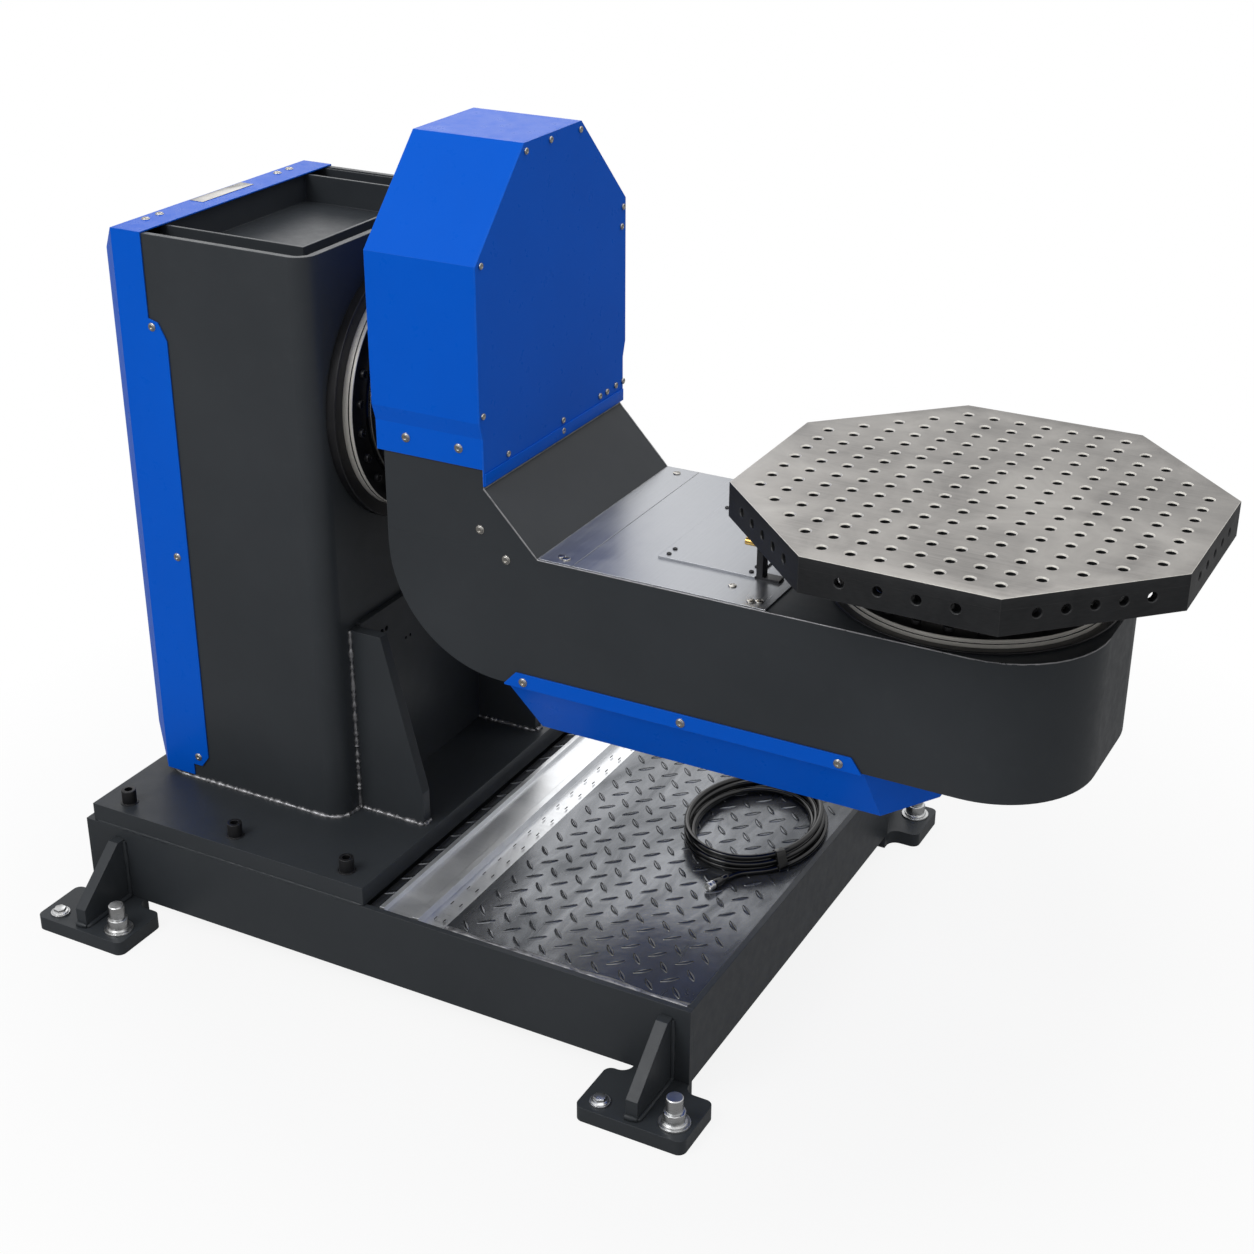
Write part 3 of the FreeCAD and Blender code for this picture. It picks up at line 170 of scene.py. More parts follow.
def metalMaterial(name, slotName, look):
    # bare metal: fine lay of the tool along one direction, stains and a soft edge
    material, tree, shader = newMaterial(name, slotName, look["color"], look["roughness"],
                                         look.get("metallic", 1.0))
    place = objectCoordinates(tree)
    lay = noiseField(tree, objectCoordinates(tree, look["lay"]), 1.0, 3, 0.6)
    stain = noiseField(tree, place, look.get("stainScale", 9), 6, 0.62, 0.6)
    speck = noiseField(tree, place, 260, 3, 0.7)
    tone = mixColors(tree, remap(tree, stain, 0.35, 0.68, 0, 1), look["color"], look["second"])
    tone = mixColors(tree, remap(tree, lay, 0.35, 0.75, 0, look.get("layTone", 0.35)), tone, look["layColor"])
    tone = mixColors(tree, remap(tree, speck, 0.62, 0.8, 0, look.get("speck", 0.3)), tone, look["speckColor"])
    edgeNormal, edge = softEdges(tree, look.get("edgeRadius", 0.0012))
    rubbed = combine(tree, "MULTIPLY", edge, look.get("edgeTone", 0.5))
    tone = mixColors(tree, rubbed, tone, look["edgeColor"])
    tree.links.new(tone, shader.inputs["Base Color"])
    spread = look.get("roughSpread", 0.1)
    uneven = combine(tree, "ADD", stain, combine(tree, "MULTIPLY", lay, 0.6))
    tree.links.new(remap(tree, uneven, 0.5, 1.1, look["roughness"] - spread, look["roughness"] + spread),
                   shader.inputs["Roughness"])
    tree.links.new(bumpNormal(tree, lay, look.get("layBump", 0.08), 0.0003, edgeNormal),
                   shader.inputs["Normal"])
    return material


paints = {
    "graphite": {"color": (0.0330, 0.0375, 0.0425), "second": (0.042, 0.047, 0.053),
                 "dustColor": (0.072, 0.078, 0.085), "edgeColor": (0.075, 0.082, 0.09), "roughness": 0.36,
                 "coat": 0.06, "coatRoughness": 0.25, "dust": 0.16, "specular": 0.5, "bend": 1.3},
    "blue": {"color": (0.0, 0.104, 0.64), "second": (0.0, 0.114, 0.69), "dustColor": (0.01, 0.14, 0.62),
             "edgeColor": (0.12, 0.3, 0.78), "roughness": 0.3, "coat": 0.05, "coatRoughness": 0.08,
             "dust": 0.06, "specular": 0.25, "bend": 1.22, "edgeRadius": 0.0014, "wear": 0.4,
             "grainScale": 700},
    "casing": {"color": (0.035, 0.036, 0.039), "second": (0.045, 0.046, 0.05), "dustColor": (0.1, 0.1, 0.1),
               "edgeColor": (0.2, 0.2, 0.2), "roughness": 0.5, "peel": 0.25, "grainScale": 500},
    "blackSteel": {"color": (0.010, 0.010, 0.012), "second": (0.016, 0.016, 0.018),
                   "dustColor": (0.05, 0.05, 0.05), "edgeColor": (0.2, 0.2, 0.21),
                   "roughness": 0.34, "metallic": 0.35, "dust": 0.2,
                   "edgeRadius": 0.0012},
}
graphite = paintMaterial("graphitePaint", "graphite_paint", paints["graphite"])
bluePaint = paintMaterial("bluePaint", "blue_paint", paints["blue"])
casing = paintMaterial("driveCasing", "drive_casing", paints["casing"])
blackSteel = paintMaterial("blackSteel", "black_steel", paints["blackSteel"])

metals = {
    "galvanised": {"color": (0.70, 0.715, 0.735), "second": (0.80, 0.81, 0.82), "layColor": (0.86, 0.87, 0.88),
                   "speckColor": (0.20, 0.19, 0.18), "edgeColor": (0.85, 0.86, 0.88), "roughness": 0.36,
                   "metallic": 0.85, "lay": (10, 240, 240), "speck": 0.35},
    "zinc": {"color": (0.60, 0.61, 0.62), "second": (0.48, 0.48, 0.47), "layColor": (0.75, 0.75, 0.76),
             "speckColor": (0.3, 0.28, 0.24), "edgeColor": (0.9, 0.9, 0.9), "roughness": 0.3,
             "lay": (60, 60, 700), "stainScale": 40},
    "stainless": {"color": (0.50, 0.48, 0.44), "second": (0.40, 0.38, 0.35), "layColor": (0.6, 0.58, 0.55),
                  "speckColor": (0.35, 0.32, 0.28), "edgeColor": (0.9, 0.9, 0.88), "roughness": 0.24,
                  "lay": (300, 300, 300), "stainScale": 60},
    "ground": {"color": (0.46, 0.45, 0.43), "second": (0.36, 0.35, 0.33), "layColor": (0.6, 0.59, 0.57),
               "speckColor": (0.2, 0.19, 0.17), "edgeColor": (0.85, 0.84, 0.82), "roughness": 0.3,
               "lay": (60, 60, 900), "stainScale": 14},
    "ringSteel": {"color": (0.64, 0.62, 0.57), "second": (0.56, 0.54, 0.50), "layColor": (0.78, 0.76, 0.72),
                  "speckColor": (0.3, 0.28, 0.25), "edgeColor": (0.9, 0.89, 0.86), "roughness": 0.4,
                  "metallic": 0.35, "lay": (60, 60, 900), "stainScale": 14},
    "tableTop": {"color": (0.215, 0.206, 0.196), "second": (0.40, 0.385, 0.365), "layColor": (0.40, 0.38, 0.36),
                 "speckColor": (0.12, 0.11, 0.10), "edgeColor": (0.75, 0.74, 0.72), "roughness": 0.42,
                 "metallic": 0.75, "lay": (9, 340, 340), "stainScale": 5.5, "layTone": 0.5,
                 "edgeRadius": 0.0016, "edgeTone": 0.9},
    "tableSide": {"color": (0.012, 0.013, 0.015), "second": (0.022, 0.023, 0.025),
                  "layColor": (0.04, 0.04, 0.042), "speckColor": (0.02, 0.02, 0.02),
                  "edgeColor": (0.22, 0.22, 0.22), "roughness": 0.42,
                  "metallic": 0.3, "lay": (60, 60, 500), "stainScale": 12, "edgeTone": 0.3},
    "armPlate": {"color": (0.26, 0.27, 0.29), "second": (0.36, 0.37, 0.39), "layColor": (0.48, 0.49, 0.51),
                 "speckColor": (0.12, 0.12, 0.12), "edgeColor": (0.8, 0.81, 0.83), "roughness": 0.34,
                 "metallic": 0.85, "lay": (240, 10, 240), "stainScale": 4, "speck": 0.25, "roughSpread": 0.12},
    "brass": {"color": (0.62, 0.40, 0.11), "second": (0.5, 0.32, 0.1), "layColor": (0.75, 0.52, 0.2),
              "speckColor": (0.2, 0.12, 0.04), "edgeColor": (0.95, 0.75, 0.4), "roughness": 0.28,
              "lay": (400, 400, 90), "stainScale": 50},
    "weldBead": {"color": (0.16, 0.16, 0.17), "second": (0.30, 0.30, 0.31), "layColor": (0.45, 0.45, 0.46),
                 "speckColor": (0.05, 0.05, 0.05), "edgeColor": (0.6, 0.6, 0.6), "roughness": 0.34,
                 "metallic": 0.7, "lay": (180, 180, 180), "stainScale": 45, "layBump": 0.5},
}
slotOfMetal = {"galvanised": "galvanised_sheet", "armPlate": "galvanised_sheet", "zinc": "zinc",
               "stainless": "zinc", "ground": "ground_steel", "ringSteel": "ground_steel",
               "tableTop": "ground_steel", "tableSide": "ground_steel", "brass": "brass",
               "weldBead": "graphite_paint"}
metal = {name: metalMaterial(name, slotOfMetal[name], look) for name, look in metals.items()}


def chequerMaterial():
    # rolled tread plate: bright sheen from the mill, dark smears and rubbed lens tops
    material, tree, shader = newMaterial("chequerPlate", "chequer_plate", (0.13, 0.14, 0.15), 0.2, 0.7)
    place = objectCoordinates(tree)
    smear = noiseField(tree, objectCoordinates(tree, (5, 1.4, 1)), 3.2, 5, 0.6, 0.8)
    grit = noiseField(tree, place, 320, 4, 0.7)
    tone = mixColors(tree, remap(tree, smear, 0.32, 0.66, 0, 1), (0.085, 0.091, 0.100), (0.185, 0.192, 0.205))
    tone = mixColors(tree, remap(tree, grit, 0.6, 0.78, 0, 0.4), tone, (0.05, 0.05, 0.05))
    edgeNormal, edge = softEdges(tree, 0.0012)
    tone = mixColors(tree, combine(tree, "MULTIPLY", edge, 0.6), tone, (0.60, 0.61, 0.63))
    tree.links.new(tone, shader.inputs["Base Color"])
    tree.links.new(remap(tree, smear, 0.3, 0.7, 0.3, 0.17), shader.inputs["Roughness"])
    tree.links.new(bumpNormal(tree, noiseField(tree, place, 28, 3, 0.5), 0.25, 0.002, edgeNormal),
                   shader.inputs["Normal"])
    return material


def rubberMaterial():
    material, tree, shader = newMaterial("cableRubber", "cable_rubber", (0.004, 0.004, 0.0045), 0.16)
    place = objectCoordinates(tree)
    scuff = noiseField(tree, place, 60, 5, 0.65)
    tree.links.new(mixColors(tree, remap(tree, scuff, 0.5, 0.8, 0, 0.5), (0.003, 0.003, 0.0035),
                             (0.011, 0.011, 0.012)), shader.inputs["Base Color"])
    tree.links.new(remap(tree, scuff, 0.3, 0.8, 0.08, 0.2), shader.inputs["Roughness"])
    tree.links.new(bumpNormal(tree, noiseField(tree, place, 900, 2, 0.5), 0.1, 0.0003), shader.inputs["Normal"])
    shader.inputs["Coat Weight"].default_value = 0.3
    shader.inputs["Coat Roughness"].default_value = 0.06
    shader.inputs["IOR"].default_value = 1.38
    return material


chequer = chequerMaterial()
rubber = rubberMaterial()
materialOfSlot = {"graphite_paint": graphite, "blue_paint": bluePaint, "chequer_plate": chequer,
                  "galvanised_sheet": metal["galvanised"], "zinc": metal["zinc"], "black_steel": blackSteel,
                  "ground_steel": metal["ground"], "drive_casing": casing, "brass": metal["brass"],
                  "cable_rubber": rubber}
for part in frame["record"]["subparts"]:
    nodes[part["node"]].data.materials.clear()
    finish = materialOfSlot[part["material_slot"]]
    if part["node"].startswith("arm_") and part["material_slot"] == "galvanised_sheet":
        finish = metal["armPlate"]
    nodes[part["node"]].data.materials.append(finish)
print("materials ready:", len(bpy.data.materials))


# ---- camera, floor and soft light
def addCamera():
    values = {"place": (1.638, -3.1465, 2.3992), "azimuth": 27.945, "elevation": 26.124, "roll": 0.234,
              "lens": 58.58, "sensor": 36.0, "near": 0.05, "far": 60}
    azimuth, elevation, roll = (math.radians(values[k]) for k in ("azimuth", "elevation", "roll"))
    back = Vector((math.sin(azimuth) * math.cos(elevation), -math.cos(azimuth) * math.cos(elevation),
                   math.sin(elevation)))
    right = Vector((0, 0, 1)).cross(back).normalized()
    up = back.cross(right)
    right, up = right * math.cos(roll) + up * math.sin(roll), up * math.cos(roll) - right * math.sin(roll)
    data = bpy.data.cameras.new("camera")
    data.lens, data.sensor_width, data.sensor_fit = values["lens"], values["sensor"], "HORIZONTAL"
    data.clip_start, data.clip_end = values["near"], values["far"]
    camera = bpy.data.objects.new("camera", data)
    camera.matrix_world = Matrix.Translation(values["place"]) @ Matrix((right, up, back)).transposed().to_4x4()
    bpy.context.scene.collection.objects.link(camera)
    bpy.context.scene.camera = camera


def addLamps():
    # place, target, size and power of each square lamp
    lamps = {"key": ((-1.9, -3.6, 4.3), (0.1, 0, 0.7), 2.6, 102),
             "side": ((4.2, -2.2, 2.8), (0.2, 0, 0.6), 2.4, 4),
             "top": ((0.4, 0.8, 4.8), (0.1, 0, 0.9), 3.0, 50),
             "back": ((-2.6, 3.4, 3.2), (0, 0, 0.8), 2.6, 22)}
    for name, (place, target, size, power) in lamps.items():
        data = bpy.data.lights.new(name, "AREA")
        data.shape, data.size, data.energy = "SQUARE", size, power
        lamp = bpy.data.objects.new(name, data)
        direction = Vector(target) - Vector(place)
        lamp.matrix_world = Matrix.Translation(place) @ direction.to_track_quat("-Z", "Y").to_matrix().to_4x4()
        bpy.context.scene.collection.objects.link(lamp)


def addWorld():
    # white where the camera looks, a plain level as light, and greyer near the horizon for glossy rays
    values = {"light": 0.42, "horizon": 0.45, "rampLow": 0.10, "rampHigh": 0.44}
    world = bpy.data.worlds.new("studio")
    bpy.context.scene.world = world
    world.use_nodes = True
    tree = world.node_tree
    tree.nodes.clear()
    path = addNode(tree, "ShaderNodeLightPath")
    seen = combine(tree, "MAXIMUM", path.outputs["Is Camera Ray"],
                   combine(tree, "MAXIMUM", path.outputs["Is Glossy Ray"], path.outputs["Is Transmission Ray"]))
    background = addNode(tree, "ShaderNodeBackground")
    background.inputs["Color"].default_value = (1, 1, 1, 1)
    heading = addNode(tree, "ShaderNodeSeparateXYZ")
    tree.links.new(addNode(tree, "ShaderNodeTexCoord").outputs["Generated"], heading.inputs["Vector"])
    sky = remap(tree, heading.outputs["Z"], values["rampLow"], values["rampHigh"], values["horizon"], 1.0)
    mirrored = combine(tree, "MULTIPLY", path.outputs["Is Glossy Ray"], combine(tree, "SUBTRACT", 1.0, sky))
    bright = remap(tree, seen, 0, 1, values["light"], 1.0)
    tree.links.new(combine(tree, "SUBTRACT", bright, mirrored), background.inputs["Strength"])
    output = addNode(tree, "ShaderNodeOutputWorld")
    tree.links.new(background.outputs["Background"], output.inputs["Surface"])


def addFloor():
    # pale floor that glows to white away from the part, so that only the shadow near it shows
    values = {"half": 14.0, "color": (0.74, 0.74, 0.745), "mirror": 0.26, "fadeStart": 0.9, "fadeEnd": 1.9,
              "nearGlow": 0.88}
    bm = bmesh.new()
    bmesh.ops.create_grid(bm, x_segments=1, y_segments=1, size=values["half"])
    mesh = bpy.data.meshes.new("floor")
    bm.to_mesh(mesh)
    bm.free()
    floor = bpy.data.objects.new("floor", mesh)
    bpy.context.scene.collection.objects.link(floor)
    material = bpy.data.materials.new("paleFloor")
    material.use_nodes = True
    tree = material.node_tree
    shader = tree.nodes["Principled BSDF"]
    shader.inputs["Base Color"].default_value = (*values["color"], 1)
    shader.inputs["Roughness"].default_value = 0.9
    shader.inputs["Specular IOR Level"].default_value = 0.1
    glow = addNode(tree, "ShaderNodeEmission")
    glow.inputs["Color"].default_value = (1, 1, 1, 1)
    length = addNode(tree, "ShaderNodeVectorMath", operation="LENGTH")
    tree.links.new(objectCoordinates(tree), length.inputs[0])
    path = addNode(tree, "ShaderNodeLightPath")
    seen = combine(tree, "MAXIMUM", path.outputs["Is Camera Ray"], path.outputs["Is Glossy Ray"])
    dimmed = remap(tree, path.outputs["Is Glossy Ray"], 0, 1, 1.0, values["mirror"])
    tree.links.new(dimmed, glow.inputs["Strength"])
    fade = combine(tree, "MULTIPLY", seen, remap(tree, length.outputs["Value"], values["fadeStart"],
                                                 values["fadeEnd"], values["nearGlow"], 1.0))
    mixer = addNode(tree, "ShaderNodeMixShader")
    tree.links.new(fade, mixer.inputs["Fac"])
    tree.links.new(shader.outputs["BSDF"], mixer.inputs[1])
    tree.links.new(glow.outputs["Emission"], mixer.inputs[2])
    tree.links.new(mixer.outputs["Shader"], tree.nodes["Material Output"].inputs["Surface"])
    mesh.materials.append(material)


addCamera()
addLamps()
addWorld()
addFloor()
bpy.context.scene.view_settings.view_transform = "Standard"
print("camera, floor and lamps ready")


# ---- small helpers for pieces
def addPiece(name, bm, material, body, replaced=(), smoothAngle=32, second=None):
    # merges doubles, turns the faces outwards and hangs the piece on a body
    bmesh.ops.remove_doubles(bm, verts=bm.verts, dist=0.00002)
    bmesh.ops.recalc_face_normals(bm, faces=bm.faces)
    mesh = bpy.data.meshes.new(name)
    bm.to_mesh(mesh)
    bm.free()
    mesh.materials.append(material)
    if second:
        mesh.materials.append(second)
    mesh.polygons.foreach_set("use_smooth", [True] * len(mesh.polygons))
    mesh.set_sharp_from_angle(angle=math.radians(smoothAngle))
    piece = bpy.data.objects.new(name, mesh)
    bpy.context.scene.collection.objects.link(piece)
    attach(piece, body)
    if replaced:
        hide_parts(*replaced)
    return piece


def addPart(bm, part):
    # puts one bmesh into another and frees it
    mesh = bpy.data.meshes.new("scratch")
    part.to_mesh(mesh)
    part.free()
    bm.from_mesh(mesh)
    bpy.data.meshes.remove(mesh)


def turnAxis(axis):
    # matrix that takes Z to the given axis
    return Vector(axis).to_track_quat("Z", "Y").to_matrix().to_4x4()


def roundEdges(bm, edges, offset, clamp=False):
    bmesh.ops.bevel(bm, geom=edges, offset=offset, segments=2, profile=0.5, affect="EDGES", material=-1,
                    clamp_overlap=clamp)


def lathe(profile, place, axis=(0, 0, 1), steps=96):
    # spins a profile of (radius, height) round an axis
    bm = bmesh.new()
    points = [bm.verts.new((radius, 0, height)) for radius, height in profile]
    edges = [bm.edges.new(pair) for pair in zip(points, points[1:] + points[:1])]
    bmesh.ops.spin(bm, geom=points + edges, cent=(0, 0, 0), axis=(0, 0, 1), angle=math.tau, steps=steps,
                   use_merge=True)
    bmesh.ops.remove_doubles(bm, verts=bm.verts, dist=0.00002)
    bmesh.ops.transform(bm, matrix=Matrix.Translation(place) @ turnAxis(axis), verts=bm.verts)
    return bm


def block(low, high, bevel=0.0):
    bm = bmesh.new()
    low, high = Vector(low), Vector(high)
    shape = Matrix.Translation((low + high) / 2) @ Matrix.Diagonal((*(high - low), 1))
    bmesh.ops.create_cube(bm, size=1, matrix=shape)
    if bevel:
        roundEdges(bm, bm.edges, bevel)
    return bm


def disc(radius, height, place, axis=(0, 0, 1), sides=16, bevel=0.0, socket=0.0, socketDepth=0.0):
    # a round or many-sided head, with a socket of as many sides if asked
    bm = bmesh.new()
    bmesh.ops.create_cone(bm, cap_ends=True, segments=sides, radius1=radius, radius2=radius, depth=height,
                          matrix=Matrix.Translation((0, 0, height / 2)))
    top = max(bm.faces, key=lambda face: face.calc_center_median().z)
    if bevel:
        roundEdges(bm, list(top.edges), bevel)
        top = max(bm.faces, key=lambda face: (round(face.calc_center_median().z, 6), face.calc_area()))
    if socket:
        bmesh.ops.inset_individual(bm, faces=[top], thickness=(radius - bevel) - socket)
        pit = bmesh.ops.extrude_discrete_faces(bm, faces=[top])["faces"][0]
        bmesh.ops.translate(bm, vec=(0, 0, -socketDepth), verts=pit.verts)
    bmesh.ops.transform(bm, matrix=Matrix.Translation(place) @ turnAxis(axis), verts=bm.verts)
    return bm


def prism(outline, low, high, bevel=0.0):
    # outline in X and Y, pulled up from one height to the other
    bm = bmesh.new()
    face = bm.faces.new([bm.verts.new((x, y, low)) for x, y in outline])
    grown = bmesh.ops.extrude_face_region(bm, geom=[face])["geom"]
    raised = [g for g in grown if isinstance(g, bmesh.types.BMVert)]
    bmesh.ops.translate(bm, vec=(0, 0, high - low), verts=raised)
    bmesh.ops.recalc_face_normals(bm, faces=bm.faces)
    if bevel:
        roundEdges(bm, bm.edges, bevel, True)
    return bm


def screwSet(name, spots, axis, body, look, material=None):
    # button-head screws with a socket, all facing one way, some on washers
    bm = bmesh.new()
    sides, washerHeight = 14, 0.0012
    for spot in spots:
        addPart(bm, disc(look["radius"], look["height"], spot, axis, sides, look["round"], look["socket"],
                         look["height"] * 0.6))
        if look.get("washer"):
            addPart(bm, disc(look["washer"], washerHeight, spot, axis, sides, 0.0003))
    return addPiece(name, bm, material or metal["stainless"], body)


def beadSet(name, paths, radius, body, material, lump=0.35, step=0.006, sides=6):
    # weld beads: a small tube along each path that swells and sinks like laid metal
    bm = bmesh.new()
    for path in paths:
        path = [Vector(p) for p in path]
        rings = []
        for start, end in zip(path, path[1:]):
            count = max(2, int((end - start).length / step))
            heading = (end - start).normalized()
            frameTurn = heading.to_track_quat("Z", "Y").to_matrix()
            for i in range(count):
                spot = start.lerp(end, i / count)
                swell = radius * (1 + lump * (random.random() - 0.5) * 2)
                rings.append((spot, frameTurn, swell))
        rings.append((path[-1], rings[-1][1], radius * 0.6))
        loops = []
        for spot, turn, swell in rings:
            circle = bmesh.ops.create_circle(bm, cap_ends=False, segments=sides, radius=swell)["verts"]
            bmesh.ops.transform(bm, matrix=Matrix.Translation(spot) @ turn.to_4x4(), verts=circle)
            loops.append(circle)
        for before, after in zip(loops, loops[1:]):
            for i in range(sides):
                bm.faces.new((before[i], before[(i + 1) % sides], after[(i + 1) % sides], after[i]))
        bm.faces.new(loops[0])
        bm.faces.new(loops[-1])
    bmesh.ops.recalc_face_normals(bm, faces=bm.faces)
    return addPiece(name, bm, material, body, smoothAngle=60)


# ---- cable: out of the gland, wound into a tied coil on the deck, tail to a plug
cableSizes = {"radius": 0.006, "centre": (0.192, 0.139), "halfRun": 0.040, "pointsPerTurn": 16,
              "turnCount": 5.44, "tieAngle": math.radians(-38), "bundle": (0.1275, 0.1875),
              "climbStart": 0.55, "climbRun": 0.45, "fanOut": 0.10, "fanIn": 0.002, "fanUp": 0.42}
exitPoint = (0.042, 0.406, 0.204)


def cableRoute():
    values = cableSizes
    lead = [exitPoint, (0.042, 0.364, 0.204), (0.066, 0.326, 0.208), (0.1085, 0.304, 0.212),
            (0.1565, 0.302, 0.214)]
    # each turn's radius and height, from the top down and outwards
    turns = [(0.1300, 0.2150), (0.1340, 0.2020), (0.1210, 0.2015), (0.1145, 0.1890), (0.1275, 0.1880),
             (0.1405, 0.1875)]
    middle = Vector(values["bundle"])
    points = list(lead)
    perTurn = values["pointsPerTurn"]
    total = int(values["turnCount"] * perTurn)
    shrink = math.cos(math.pi / perTurn) ** 0.75
    for k in range(1, total):
        whole, part = divmod(k, perTurn)
        angle = math.pi / 2 - math.tau * k / perTurn
        here, after = turns[whole], turns[min(whole + 1, len(turns) - 1)]
        ease = min(1.0, max(0.0, (part / perTurn - values["climbStart"]) / values["climbRun"]))
        radius = here[0] + (after[0] - here[0]) * ease
        height = here[1] + (after[1] - here[1]) * ease
        # turns lie tight at the tie and fan out away from it
        fan = 0.5 - 0.5 * math.cos(angle - values["tieAngle"])
        radius = middle.x + (radius - middle.x) * (1 + values["fanOut"] * fan) - values["fanIn"] * fan
        height = middle.y + (height - middle.y) * (1 + values["fanUp"] * fan)
        points.append((values["centre"][0] + radius / shrink * math.cos(angle),
                       values["centre"][1] + (radius / shrink + values["halfRun"]) * math.sin(angle), height))
    return points + [(0.2520, -0.0220, 0.1878), (0.2330, -0.0385, 0.1875), (0.2240, -0.0620, 0.1870)]


def makePlug():
    # plug: ribbed sleeve and round body, and a bright shell at the open end
    place, heading = Vector((0.2240, -0.0620, 0.1902)), Vector((-0.014, -0.044, 0)).normalized()
    sleeve = lathe([(0.0001, -0.002), (0.0072, -0.002), (0.0078, 0.004), (0.0072, 0.006), (0.0080, 0.010),
                    (0.0076, 0.012), (0.0086, 0.016), (0.0098, 0.019), (0.0098, 0.036), (0.0090, 0.037),
                    (0.0001, 0.037)], place, heading, 32)
    shell = lathe([(0.0070, 0.0365), (0.0094, 0.0365), (0.0096, 0.039), (0.0090, 0.041), (0.0096, 0.043),
                   (0.0096, 0.0505), (0.0090, 0.0515), (0.0080, 0.0515), (0.0080, 0.042), (0.0001, 0.042),
                   (0.0001, 0.0375), (0.0070, 0.0375)], place, heading, 32)
    plug = addPiece("cablePlug", sleeve, rubber, "base", ["cable_plug"])
    rim = addPiece("cablePlugShell", shell, metal["zinc"], "base")
    return plug, rim


def makeTie():
    # tape round the bundle where it is tied
    values = cableSizes
    angle, halfRun, middle = values["tieAngle"], values["halfRun"], Vector(values["bundle"])
    onCoil = Vector((values["centre"][0] + middle.x * math.cos(angle),
                     values["centre"][1] + (middle.x + halfRun) * math.sin(angle), 0))
    outward = Vector((math.cos(angle) / middle.x, math.sin(angle) / (middle.x + halfRun), 0)).normalized()
    side = Vector((-outward.y, outward.x, 0))
    bm = bmesh.new()
    loops = []
    for across, grow in ((-0.011, -0.0006), (-0.010, 0.0004), (0.010, 0.0004), (0.011, -0.0006)):
        # offsets from the bundle's middle, outwards and up
        outline = [(-0.0205, -0.0175), (0.0200, -0.0175), (0.0220, -0.0110), (0.0135, 0.0090), (0.0085, 0.0225),
                   (-0.0035, 0.0225), (-0.0145, 0.0090), (-0.0225, -0.0090)]
        loop = []
        for away in (Vector(spot) for spot in outline):
            spot = away * (1 + grow / away.length)
            lift = Vector((0, 0, 0.1990 + spot.y))
            loop.append(bm.verts.new(onCoil + outward * spot.x + side * across + lift))
        loops.append(loop)
    for before, after in zip(loops, loops[1:]):
        for i in range(len(before)):
            j = (i + 1) % len(before)
            bm.faces.new((before[i], before[j], after[j], after[i]))
    bm.faces.new(loops[0])
    bm.faces.new(loops[-1])
    roundEdges(bm, bm.edges, 0.0012, True)
    return addPiece("coilTie", bm, rubber, "base", smoothAngle=60)


def makeCable():
    points = cableRoute()
    curve = bpy.data.curves.new("floorCable", "CURVE")
    curve.dimensions = "3D"
    spline = curve.splines.new("NURBS")
    spline.points.add(len(points) - 1)
    for point, place in zip(spline.points, points):
        point.co = (*place, 1)
    spline.order_u = 3
    spline.use_endpoint_u = True
    spline.resolution_u = 5
    curve.bevel_depth = cableSizes["radius"]
    curve.bevel_resolution = 5
    curve.use_fill_caps = True
    curve.materials.append(rubber)
    cable = bpy.data.objects.new("floorCable", curve)
    bpy.context.scene.collection.objects.link(cable)
    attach(cable, "base")
    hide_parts("cable_lead", "cable_coil", "cable_tail")
    plug, rim = makePlug()
    tie = makeTie()


makeCable()
print("cable coiled on the deck")


# ---- turntable: ground plate with a chamfered hole grid, rim, boss and ribs
def bored(name, solid, cutters):
    # takes the cutters out of a solid with Boolean modifiers, and gives the result as a new bmesh
    mesh = bpy.data.meshes.new(name)
    solid.to_mesh(mesh)
    solid.free()
    whole = bpy.data.objects.new(name, mesh)
    bpy.context.scene.collection.objects.link(whole)
    for n, tool in enumerate(cutters):
        bmesh.ops.recalc_face_normals(tool, faces=tool.faces)
        toolMesh = bpy.data.meshes.new(f"{name}Tool{n}")
        tool.to_mesh(toolMesh)
        tool.free()
        toolObject = bpy.data.objects.new(f"{name}Tool{n}", toolMesh)
        bpy.context.scene.collection.objects.link(toolObject)
        modifier = whole.modifiers.new("holes", "BOOLEAN")
        modifier.object, modifier.operation, modifier.solver = toolObject, "DIFFERENCE", "EXACT"
    bpy.context.view_layer.update()
    cutMesh = bpy.data.meshes.new_from_object(whole.evaluated_get(bpy.context.evaluated_depsgraph_get()))
    for thing in [whole] + [modifier.object for modifier in whole.modifiers]:
        old = thing.data
        bpy.data.objects.remove(thing)
        bpy.data.meshes.remove(old)
    bm = bmesh.new()
    bm.from_mesh(cutMesh)
    bpy.data.meshes.remove(cutMesh)
    return bm


